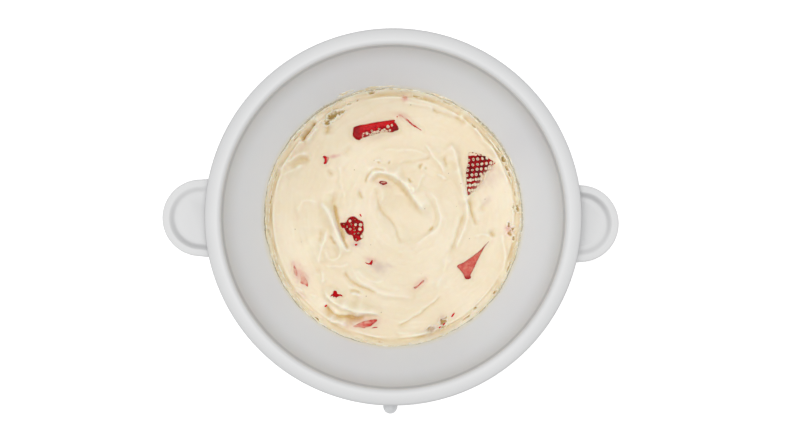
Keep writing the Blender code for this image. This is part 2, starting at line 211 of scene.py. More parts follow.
# %% Finishes
class Finish(NodeBook):
    def __init__(self, name, constants):
        self.material = bpy.data.materials.new(name)
        self.material.use_nodes = True
        super().__init__(self.material.node_tree)
        self.tree.nodes.clear()
        self.shader = self.tree.nodes.new("ShaderNodeBsdfPrincipled")
        output = self.tree.nodes.new("ShaderNodeOutputMaterial")
        self.tree.links.new(self.shader.outputs[0], output.inputs[0])
        for socket, value in constants.items():
            self.shader.inputs[socket].default_value = value
        self.place = self.add("ShaderNodeTexCoord", output=3)

    def set(self, socket, value):
        self.feed(self.shader.inputs[socket], value)

    def noise(self, cell_mm, detail=2.0, roughness=0.5, stretch=None):
        """Noise from 0 to 1 whose patches are about `cell_mm` across."""
        place = self.place
        if stretch:
            stretching = {"Vector": place, "Scale": stretch}
            place = self.add("ShaderNodeMapping", {"vector_type": "POINT"}, stretching)
        values = {"Vector": place, "Scale": 1000.0 / cell_mm, "Detail": detail, "Roughness": roughness}
        return self.add("ShaderNodeTexNoise", {}, values)

    def cells(self, cell_mm):
        """Distance to the nearest of a scatter of points, in cells."""
        return self.add("ShaderNodeTexVoronoi", {}, {"Vector": self.place, "Scale": 1000.0 / cell_mm})

    def read(self, name):
        return self.add("ShaderNodeAttribute", {"attribute_name": name}, output=2)

    def blend(self, share, one, two):
        settings = {"data_type": "RGBA"}
        return self.add("ShaderNodeMix", settings, {"Factor": share, "A": one, "B": two})

    def bump(self, height, depth_mm, strength=1.0):
        values = {"Strength": strength, "Distance": depth_mm * MM, "Height": height}
        self.set("Normal", self.add("ShaderNodeBump", {}, values))


# %% Floor
FLOOR_HALF = 2.5
FLOOR_HEIGHT = -0.2 * MM     # a little under the base, so the two faces do not fight
floor_mesh = bpy.data.meshes.new("floor")
floor_corners = [(across * FLOOR_HALF, along * FLOOR_HALF, FLOOR_HEIGHT)
                 for across, along in ((-1.0, -1.0), (1.0, -1.0), (1.0, 1.0), (-1.0, 1.0))]
floor_mesh.from_pydata(floor_corners, [], [(0, 1, 2, 3)])
floor = bpy.data.objects.new("floor", floor_mesh)
bpy.context.scene.collection.objects.link(floor)
floor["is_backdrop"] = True
FLOOR_GLOW = 0.45
table_finish = Finish("light_table", {"Base Color": (0.85, 0.85, 0.85, 1.0), "Roughness": 0.9,
                                      "Specular IOR Level": 0.0, "Emission Color": (1.0, 1.0, 1.0, 1.0),
                                      "Emission Strength": FLOOR_GLOW})
floor_mesh.materials.append(table_finish.material)

# %% Light
SKY = 0.42
world = bpy.data.worlds.new("studio")
world.use_nodes = True
world.node_tree.nodes["Background"].inputs["Color"].default_value = (1.0, 1.0, 1.0, 1.0)
world.node_tree.nodes["Background"].inputs["Strength"].default_value = SKY
bpy.context.scene.world = world


def add_softbox(name, spot, size, watts):
    light = bpy.data.lights.new(name, "AREA")
    light.shape = "RECTANGLE"
    light.size, light.size_y = size
    light.energy = watts
    lamp = bpy.data.objects.new(name, light)
    lamp.location = spot
    aim = Vector((0.0, 0.0, RIM_TOP)) - Vector(spot)
    lamp.rotation_euler = aim.to_track_quat("-Z", "Y").to_euler()
    lamp.visible_camera = False
    bpy.context.scene.collection.objects.link(lamp)


add_softbox("softbox_above", (0.06, -0.08, 1.75), (1.1, 1.1), 11.5)
add_softbox("softbox_key", (-0.62, 0.56, 1.45), (0.5, 0.5), 3.6)
add_softbox("softbox_low_left", (-0.62, -0.25, 0.55), (0.3, 0.3), 0.6)
add_softbox("softbox_low_right", (0.62, 0.05, 0.55), (0.3, 0.3), 0.45)

# %% [markdown]
# ## Adding a piece
#
# Each finished mesh becomes one object at the origin that rides on the only body, takes its
# finish and stands for one or more CAD nodes.


# %% Small helpers for meshes
def mesh_from(name, points, faces):
    mesh = bpy.data.meshes.new(name)
    mesh.from_pydata([tuple(point) for point in points], [], faces)
    mesh.shade_smooth()
    return mesh


def paint(mesh, name, values):
    """Store one number for each vertex, for a finish to read."""
    attribute = mesh.attributes.new(name, "FLOAT", "POINT")
    attribute.data.foreach_set("value", np.asarray(values, dtype=np.float32).ravel())


def add_piece(name, mesh, finish, stands_for=()):
    mesh.materials.clear()
    mesh.materials.append(finish.material)
    piece = bpy.data.objects.new(name, mesh)
    bpy.context.scene.collection.objects.link(piece)
    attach(piece, "root")
    if stands_for:
        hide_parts(*stands_for)
    mesh.calc_loop_triangles()
    print(name, len(mesh.loop_triangles), "triangles")


def loose_object(name, mesh):
    thing = bpy.data.objects.new(name, mesh)
    bpy.context.scene.collection.objects.link(thing)
    return thing


def settle(thing, name):
    """The object's evaluated shape as a plain mesh; the object itself is removed."""
    depsgraph = bpy.context.evaluated_depsgraph_get()
    mesh = bpy.data.meshes.new_from_object(thing.evaluated_get(depsgraph))
    mesh.name = name
    bpy.data.objects.remove(thing)
    return mesh


def arc(centre, radius, start, end, steps):
    turns = [math.radians(start + (end - start) * step / steps) for step in range(steps + 1)]
    return [(centre[0] + radius * math.cos(turn), centre[1] + radius * math.sin(turn)) for turn in turns]


def smooth_step(value):
    value = np.clip(value, 0.0, 1.0)
    return value * value * (3.0 - 2.0 * value)


# %% [markdown]
# ## Turning a body from its profile
#
# The bowl and its pin are turned bodies: one profile carried round an axis. The profile is
# a line of points (radius, height). A Spin in mesh code would do, but a Geometry Nodes
# tree keeps the number of steps an input and closes the poles itself, so both bodies use
# the same tree.


# %% The turning tree
class GeometryBook(NodeBook):
    """A Geometry Nodes tree with named inputs."""

    def __init__(self, name):
        super().__init__(bpy.data.node_groups.new(name, "GeometryNodeTree"))
        self.ids = {}
        face = self.tree.interface
        face.new_socket("Geometry", in_out="OUTPUT", socket_type="NodeSocketGeometry")
        self.start = self.tree.nodes.new("NodeGroupInput")
        self.end = self.tree.nodes.new("NodeGroupOutput")
        self.geometry = self.new_input("Geometry", "NodeSocketGeometry")

    def new_input(self, name, kind, default=None):
        socket = self.tree.interface.new_socket(name, in_out="INPUT", socket_type=kind)
        if default is not None:
            socket.default_value = default
        self.ids[name] = socket.identifier
        return Wire(self, self.start.outputs[name])

    def finish_with(self, geometry, finish):
        """Every tree ends the same way: Realize Instances, then Set Material."""
        solid = self.add("GeometryNodeRealizeInstances", {}, {"Geometry": geometry})
        done = self.add("GeometryNodeSetMaterial", {}, {"Geometry": solid, "Material": finish})
        self.tree.links.new(done.socket, self.end.inputs[0])

    def run(self, thing, name, values):
        """Apply the tree to an object with these input values and return the plain mesh."""
        modifier = thing.modifiers.new("tree", "NODES")
        modifier.node_group = self.tree
        for key, value in values.items():
            modifier[self.ids[key]] = value
        return settle(thing, name)


turning = GeometryBook("turned_body")
path_radius = turning.new_input("Path Radius", "NodeSocketFloat", 0.1)
turn_steps = turning.new_input("Steps", "NodeSocketInt", 64)
turned_finish = turning.new_input("Finish", "NodeSocketMaterial")
profile_line = turning.add("GeometryNodeMeshToCurve", {}, {"Mesh": turning.geometry})
turning_path = turning.add("GeometryNodeCurvePrimitiveCircle", {"mode": "RADIUS"},
                           {"Resolution": turn_steps, "Radius": path_radius})
swept = turning.add("GeometryNodeCurveToMesh", {}, {"Curve": turning_path, "Profile Curve": profile_line})
closed = turning.add("GeometryNodeMergeByDistance", {}, {"Geometry": swept, "Distance": 0.001 * MM})
turning.finish_with(closed, turned_finish)


def turned_body(name, profile, steps, finish):
    """Turn a profile of (radius, height) points whose ends lie on the axis."""
    reach = max(radius for radius, _ in profile)
    line = bpy.data.meshes.new(name + "_profile")
    points = [(radius - reach, -height, 0.0) for radius, height in profile]
    line.from_pydata(points, [(step, step + 1) for step in range(len(points) - 1)], [])
    values = {"Path Radius": reach, "Steps": steps, "Finish": finish.material}
    return turning.run(loose_object(name + "_profile", line), name, values)


def face_outwards(mesh):
    """Turn every face outwards and report whether the body is closed."""
    maker = bmesh.new()
    maker.from_mesh(mesh)
    if maker.calc_volume(signed=True) < 0.0:
        bmesh.ops.reverse_faces(maker, faces=maker.faces)
    open_edges = sum(1 for edge in maker.edges if not edge.is_manifold)
    volume = maker.calc_volume(signed=True)
    maker.to_mesh(mesh)
    maker.free()
    print(mesh.name, "volume", round(volume * 1e6, 1), "ml, open edges", open_edges)
    return mesh


# %% [markdown]
# ## Satin moulded plastic
#
# The real bowl is light grey-white plastic from a mould with a fine eroded texture: soft
# sheen, no mirror. Fine noise bump gives the texture and broad noise the slight unevenness of
# handled plastic. A painted highlight lightens the lip and the ears, and painted shade darkens
# the throat under the lip, the rim's outer edge, the corner where an ear meets the rim and the
# cove round each ear's pocket. The liner is painted lighter and bluer, with painted shade near
# its top and painted warm light just over the cream.


# %% Heights and radii the finishes and shapes share
RIM_RADIUS = 0.106
LIP_RADIUS = 0.0970
EAR_TOP = RIM_TOP - 0.0060
CREAM_LEVEL = 77.0       # in millimetres

# %% Bowl and pin finishes
THROAT_GREY = (0.36, 0.365, 0.375)      # the shade under the lip
# painted shade in the corner where an ear meets the rim
EAR_CORNER_SHADE = (0.22, 0.22, 0.23)          # where an ear meets the rim
# painted shade colour for the rim's rounded outer edge
RIM_EDGE_SHADE = (0.30, 0.30, 0.31)          # the rim's outer edge
# painted highlight colour for the lip and the ears
HIGHLIGHT_WHITE = (0.90, 0.90, 0.90)
COVE_SHADE = (0.34, 0.34, 0.345)         # the cove round an ear's pocket
CREAM_GLOW = (0.86, 0.82, 0.66)         # the wall just over the cream


def satin_plastic(name, colour, darker, roughness, liner=None):
    finish = Finish(name, {"IOR": 1.46, "Specular IOR Level": 0.35})
    broad = finish.noise(60.0, 3.0)
    fine = finish.noise(0.45, 2.0, 0.6)
    scuffs = finish.noise(9.0, 4.0, 0.6, stretch=(1.0, 1.0, 3.0)).ease(0.56, 0.72)
    tone = finish.blend(broad.ease(0.3, 0.7), darker, colour)
    if liner:
        # painted light and shade: the liner is lighter and bluer than the outside, and painted shade darkens
        # its upper part towards the lip
        upper, lower = liner
        inside = finish.blend(finish.read("liner_depth"), upper, lower)
        tone = finish.blend(finish.read("liner"), tone, inside)
        split = finish.add("ShaderNodeSeparateXYZ", {}, (finish.place,))
        across, along, up = (Wire(finish, output) for output in split.socket.node.outputs)
        reach = (across * across + along * along) ** 0.5
        throat = up.band(RIM_TOP - 10.5 * MM, RIM_TOP - 7.0 * MM, RIM_TOP - 3.4 * MM, RIM_TOP - 2.2 * MM)
        throat = throat * (1.0 - reach.ease(LIP_RADIUS + 0.3 * MM, LIP_RADIUS + 0.6 * MM))
        # painted warm light bounced from the cream, on the wall just over it
        glow = finish.read("liner") * (1.0 - up.ease((CREAM_LEVEL + 1.0) * MM, (CREAM_LEVEL + 9.0) * MM))
        tone = finish.blend(glow * 0.60, tone, CREAM_GLOW)
        tone = finish.blend(throat * 0.40, tone, THROAT_GREY)
        # painted shade: a thin dark band on the collar in the corner over each ear
        ear_corner_shading = reach.band(RIM_RADIUS - 0.3 * MM, RIM_RADIUS, RIM_RADIUS + 0.2 * MM, RIM_RADIUS + 0.7 * MM)
        ear_corner_shading = ear_corner_shading * up.band(EAR_TOP - 4.0 * MM, EAR_TOP - 3.6 * MM, EAR_TOP + 0.2 * MM, EAR_TOP + 0.9 * MM)
        tone = finish.blend(ear_corner_shading * 0.7, tone, EAR_CORNER_SHADE)
        # painted shade on the rounded outer edge of the rim
        edge = reach.band(RIM_RADIUS - 0.55 * MM, RIM_RADIUS - 0.15 * MM,
                          RIM_RADIUS + 0.2 * MM, RIM_RADIUS + 0.4 * MM)
        edge = edge * up.ease(RIM_TOP - 4.0 * MM, RIM_TOP - 2.0 * MM)
        tone = finish.blend(edge * 0.45, tone, RIM_EDGE_SHADE)
        # painted highlight: the lip, and more weakly the ears, lightened from the lip attribute
        tone = finish.blend(finish.read("lip") * 0.5, tone, HIGHLIGHT_WHITE)
        # painted shade in the cove round each ear's pocket
        tone = finish.blend(finish.read("cove"), tone, COVE_SHADE)
    finish.set("Base Color", tone)
    finish.set("Roughness", roughness + 0.06 * fine + 0.05 * scuffs)
    finish.bump(fine, 0.02, 0.55)
    return finish


# the liner's two tones are painted light and shade: a darker upper tone under the lip, a lighter and bluer
# lower tone
bowl_finish = satin_plastic("satin_bowl_plastic", (0.640, 0.642, 0.645), (0.615, 0.618, 0.622), 0.36,
                            liner=((0.70, 0.722, 0.755), (0.83, 0.866, 0.925)))
pin_finish = satin_plastic("satin_pin_plastic", (0.675, 0.680, 0.690), (0.640, 0.648, 0.660), 0.34)

# %% [markdown]
# ## The bowl
#
# A double-walled churn bowl: the collar stands upright, the rim is flat with a soft lip on
# its inner side, and the liner drops from under the lip and eases into a slope. Under the
# collar the skin curves down to a flat base. The two ears are raised trays with a coved
# pocket, and are lofted from a shrinking outline, because their pocket floor slopes.

# %% Bowl sizes
LIP_ROUND = 0.0026
LIP_DROP = 0.0060
LIP_STEP = 0.0005
COLLAR_HEIGHT = 0.020
RIM_EDGE_ROUND = 0.0014
BASE_RADIUS = 0.072
BASE_EDGE_ROUND = 0.007
FLOOR_THICKNESS = 0.025
FLOOR_FILLET = 0.012
WALL_TAPER = 0.31
WALL_SOFTENING = 0.014
OUTER_SHOULDER_RADIUS = 0.1010
OUTER_BELLY = (0.099, 0.058)
BOWL_STEPS = 192


def wall_radius(height):
    """Radius of the liner: upright under the lip, then easing into its slope."""
    depth = np.maximum(RIM_TOP - LIP_DROP - height, 0.0)
    eased = np.sqrt(depth * depth + WALL_SOFTENING * WALL_SOFTENING) - WALL_SOFTENING
    return LIP_RADIUS - LIP_STEP - WALL_TAPER * eased


def liner_profile(top, gap, steps):
    """Points down the liner from `top` to the floor's centre, shrunk by `gap`."""
    slope = math.atan(WALL_TAPER)
    centre_height = FLOOR_THICKNESS + FLOOR_FILLET
    centre_radius = float(wall_radius(centre_height)) - FLOOR_FILLET / math.cos(slope)
    wall_end = centre_height - FLOOR_FILLET * math.sin(slope)
    heights = [top + (wall_end - top) * step / steps for step in range(steps)]
    points = [(float(wall_radius(height)) - gap / math.cos(slope), height) for height in heights]
    points += arc((centre_radius, centre_height), FLOOR_FILLET - gap, -math.degrees(slope), -90.0, 8)
    return points + [(0.0, FLOOR_THICKNESS + gap)]


def bowl_profile():
    """The whole profile, from the base's centre out, up, over the rim and down the liner."""
    points = [(0.0, 0.0)]
    points += arc((BASE_RADIUS - BASE_EDGE_ROUND, BASE_EDGE_ROUND), BASE_EDGE_ROUND, -90.0, -14.0, 8)
    start, control = Vector(points[-1]), Vector(OUTER_BELLY)
    end = Vector((OUTER_SHOULDER_RADIUS, RIM_TOP - COLLAR_HEIGHT))
    for share in np.linspace(0.0, 1.0, 25)[1:]:
        points.append(tuple(start * (1 - share) ** 2 + control * 2 * share * (1 - share) + end * share ** 2))
    edge = RIM_RADIUS - RIM_EDGE_ROUND
    points += arc((edge, RIM_TOP - COLLAR_HEIGHT + RIM_EDGE_ROUND), RIM_EDGE_ROUND, -90.0, 0.0, 5)
    points += arc((edge, RIM_TOP - RIM_EDGE_ROUND), RIM_EDGE_ROUND, 0.0, 90.0, 6)
    points += arc((LIP_RADIUS + LIP_ROUND, RIM_TOP - LIP_ROUND), LIP_ROUND, 90.0, 180.0, 8)
    points.append((LIP_RADIUS, RIM_TOP - LIP_DROP + 2 * LIP_STEP))
    return points + liner_profile(RIM_TOP - LIP_DROP, 0.0, 40)


turned_bowl = face_outwards(turned_body("turned_bowl", bowl_profile(), BOWL_STEPS, bowl_finish))

# %% Ears
EAR_RADIUS = 0.0218
EAR_LINE_Y = -0.0022
EAR_FLARE = 0.0009
EAR_THICKNESS = 0.0125
EAR_EDGE_ROUND = 0.0012
EAR_BORDER = 0.0038
EAR_COVE = 0.0037
EAR_DEEP, EAR_SHALLOW = 0.0032, 0.0006
EAR_ROOT_X, POCKET_ROOT_X = 0.0990, 0.1015


def ear_rows():
    """Rows of the loft: (inset of the outline, height or None, share of the pocket's depth, root)."""
    rounded = arc((EAR_EDGE_ROUND, EAR_TOP - EAR_THICKNESS + EAR_EDGE_ROUND), EAR_EDGE_ROUND, 270.0, 180.0, 4)
    rounded += arc((EAR_EDGE_ROUND, EAR_TOP - EAR_EDGE_ROUND), EAR_EDGE_ROUND, 180.0, 90.0, 5)
    rows = [(inset, height, 0.0, EAR_ROOT_X) for inset, height in rounded]
    rows.append((EAR_BORDER - 0.3 * MM, EAR_TOP, 0.0, POCKET_ROOT_X))
    for share in np.linspace(0.0, 1.0, 9):
        sunk_share = float(np.sin(share * math.pi / 2) ** 1.3)
        rows.append((EAR_BORDER + EAR_COVE * share, None, sunk_share, POCKET_ROOT_X))
    rows.append((EAR_BORDER + EAR_COVE + 1.5 * MM, None, 1.0, POCKET_ROOT_X))
    return rows


def ear_mesh(name, tip, side):
    """One ear. Its pocket floor runs up to the border along one side, so the two ears are
    each other's half turn."""
    points, rings = [], []
    for inset, height, share, root in ear_rows():
        radius = EAR_RADIUS - inset
        outline = [(root, -radius - EAR_FLARE)]
        outline += arc((tip - EAR_RADIUS, 0.0), radius, -90.0, 90.0, 40)
        outline.append((root, radius + EAR_FLARE))
        rings.append(range(len(points), len(points) + len(outline)))
        for x, y in outline:
            across = (y / EAR_RADIUS + 1.0) / 2.0
            pocket = EAR_TOP - (EAR_SHALLOW + (EAR_DEEP - EAR_SHALLOW) * across) * share
            points.append((side * x, side * y + EAR_LINE_Y, pocket if height is None else height))
    faces = []
    for lower, upper in zip(rings, rings[1:]):
        for index in range(len(lower)):
            after = (index + 1) % len(lower)
            faces.append((lower[index], lower[after], upper[after], upper[index]))
    faces += [tuple(reversed(rings[0])), tuple(rings[-1])]
    return face_outwards(mesh_from(name, points, faces))


left_ear = ear_mesh("left_ear", -cad_low.x, -1.0)
right_ear = ear_mesh("right_ear", cad_high.x, 1.0)

# %% Pin and its socket
PIN_RADIUS = 0.0041
PIN_HEIGHT = RIM_TOP - 0.0115
PIN_ROOT, PIN_TIP = 0.1035, 0.1122
SEAT_GAP = 0.0003
LAID_OUT = Matrix.Translation((0.0, 0.0, PIN_HEIGHT)) @ Matrix.Rotation(math.radians(90.0), 4, "X")

pin_profile = [(0.0, PIN_ROOT), (PIN_RADIUS - 0.3 * MM, PIN_ROOT), (PIN_RADIUS, PIN_ROOT + 0.3 * MM)]
pin_profile += arc((0.0, PIN_TIP - PIN_RADIUS), PIN_RADIUS, 0.0, 90.0, 12)
pin_mesh = turned_body("bowl_pin_fine", pin_profile, 48, pin_finish)
pin_mesh.transform(LAID_OUT)
add_piece("locating_pin", face_outwards(pin_mesh), pin_finish, ["bowl_pin"])

socket_reach = PIN_RADIUS + SEAT_GAP
socket_profile = [(0.0, PIN_ROOT - SEAT_GAP), (socket_reach, PIN_ROOT - SEAT_GAP),
                  (socket_reach, RIM_RADIUS + PIN_RADIUS), (0.0, RIM_RADIUS + PIN_RADIUS)]
socket_mesh = turned_body("pin_socket", socket_profile, 48, bowl_finish)
socket_mesh.transform(LAID_OUT)
face_outwards(socket_mesh)


# %% Join the ears to the turned body and cut the socket
def joined(base, others):
    """Boolean `others`, (mesh, operation) pairs, into the base mesh."""
    thing = loose_object("joining", base)
    helpers = []
    for mesh, operation in others:
        helper = loose_object(mesh.name, mesh)
        helpers.append(helper)
        change = thing.modifiers.new(mesh.name, "BOOLEAN")
        change.operation, change.solver, change.object = operation, "EXACT", helper
    mesh = settle(thing, base.name)
    for helper in helpers:
        bpy.data.objects.remove(helper)
    return mesh


bowl_mesh = joined(turned_bowl, [(left_ear, "UNION"), (right_ear, "UNION"), (socket_mesh, "DIFFERENCE")])
bowl_mesh.shade_smooth()
bowl_mesh.set_sharp_from_angle(angle=math.radians(38.0))
spots = np.array([vertex.co for vertex in bowl_mesh.vertices])
spot_radius = np.hypot(spots[:, 0], spots[:, 1])
inner = spot_radius < np.minimum(wall_radius(spots[:, 2]) + 0.6 * MM, LIP_RADIUS + 0.2 * MM)
inner &= spots[:, 2] > FLOOR_THICKNESS - MM
paint(bowl_mesh, "liner", inner)
# painted shade: share from the liner's darker upper tone under the lip to its lighter lower tone, over 30 mm
paint(bowl_mesh, "liner_depth", smooth_step((RIM_TOP - LIP_DROP - spots[:, 2]) / 0.030))
on_lip = (spots[:, 2] > RIM_TOP - LIP_ROUND) & (np.abs(spot_radius - LIP_RADIUS - MM) < 1.8 * MM)
on_ear = spot_radius > RIM_RADIUS + 1.5 * MM
tip_middle = np.where(spots[:, 0] > 0.0, cad_high.x, -cad_low.x) - EAR_RADIUS
outward = np.maximum(np.abs(spots[:, 0]) - tip_middle, 0.0)
inset = EAR_RADIUS - np.hypot(outward, spots[:, 1] - EAR_LINE_Y)
sunk = np.clip((EAR_TOP - spots[:, 2]) / EAR_DEEP, 0.0, 1.0) ** 0.5
# painted shade: how dark the cove round each ear's pocket is painted
on_cove = on_ear & (spots[:, 2] > EAR_TOP - EAR_DEEP - 0.1 * MM)
cove = np.exp(-((inset - EAR_BORDER - 0.45 * EAR_COVE) / (0.42 * EAR_COVE)) ** 2)
paint(bowl_mesh, "cove", np.where(on_cove, 0.48 * cove * sunk, 0.0))
# painted highlight: stronger on the lip, weaker over the ears
paint(bowl_mesh, "lip", np.where(on_lip, 0.7, 0.0) + np.where(on_ear, 0.5, 0.0))
add_piece("freezer_bowl", face_outwards(bowl_mesh), bowl_finish, ["bowl"])

# %% [markdown]
# ## The shape of churned ice cream
#
# Soft ice cream keeps the track of the paddle: broad folds that lap over each other, a
# shallow basin where the paddle turned, fine flow lines round it, and a ragged edge at the
# wall. It is a height over a round grid. A sculpted body or a fluid run would also do, but
# strokes drawn as curves keep each fold a line that can be read and moved: each has a
# crest, a height and two flanks, and a narrow flank is the steep face of a fold.


# %% Noise and curves
def patchy(u, v, seed, wrap=64):
    """Smooth random heights from -1 to 1, one patch to each unit, repeating after `wrap`."""
    table = np.random.default_rng(seed).uniform(-1.0, 1.0, (wrap, wrap))
    low_u, low_v = np.floor(u).astype(int), np.floor(v).astype(int)
    share_u, share_v = smooth_step(u - low_u), smooth_step(v - low_v)

    def at(step_u, step_v):
        return table[(low_u + step_u) % wrap, (low_v + step_v) % wrap]

    near = at(0, 0) * (1 - share_u) + at(1, 0) * share_u
    far = at(0, 1) * (1 - share_u) + at(1, 1) * share_u
    return near * (1 - share_v) + far * share_v


def smooth_curve(points, steps=6, closed=False):
    """A curve through the points (Catmull-Rom), as an array."""
    points = np.array(points, dtype=float)
    if closed:
        padded = np.vstack([points[-1:], points, points[:2]])
    else:
        padded = np.vstack([2 * points[0] - points[1], points, 2 * points[-1] - points[-2]])
    made = []
    for index in range(len(padded) - 3):
        before, here, there, after = padded[index:index + 4]
        for share in np.arange(steps) / steps:
            made.append(0.5 * (2 * here + (there - before) * share
                               + (2 * before - 5 * here + 4 * there - after) * share ** 2
                               + (3 * here - before - 3 * there + after) * share ** 3))
    if not closed:
        made.append(padded[-2])
    return np.array(made)


def across_curve(x, y, curve):
    """Distance of each point from the curve, positive on its left, and how far along it
    the nearest spot is, both in the curve's own units."""
    best = np.full(x.shape, 1e9)
    side = np.ones(x.shape)
    along = np.zeros(x.shape)
    travelled = 0.0
    for start, end in zip(curve, curve[1:]):
        step = end - start
        length = np.hypot(*step)
        share = np.clip(((x - start[0]) * step[0] + (y - start[1]) * step[1]) / length ** 2, 0.0, 1.0)
        off_x, off_y = x - start[0] - step[0] * share, y - start[1] - step[1] * share
        distance = np.hypot(off_x, off_y)
        nearer = distance < best
        best = np.where(nearer, distance, best)
        side = np.where(nearer, np.sign(step[0] * off_y - step[1] * off_x), side)
        along = np.where(nearer, travelled + share * length, along)
        travelled += length
    return best * side, along, travelled


def inside_outline(x, y, outline):
    """True for each point inside a closed outline."""
    inside = np.zeros(x.shape, dtype=bool)
    for (x1, y1), (x2, y2) in zip(outline, np.roll(outline, -1, axis=0)):
        if y1 != y2:
            crosses = ((y1 > y) != (y2 > y)) & (x < (x2 - x1) * (y - y1) / (y2 - y1) + x1)
            inside ^= crosses
    return inside


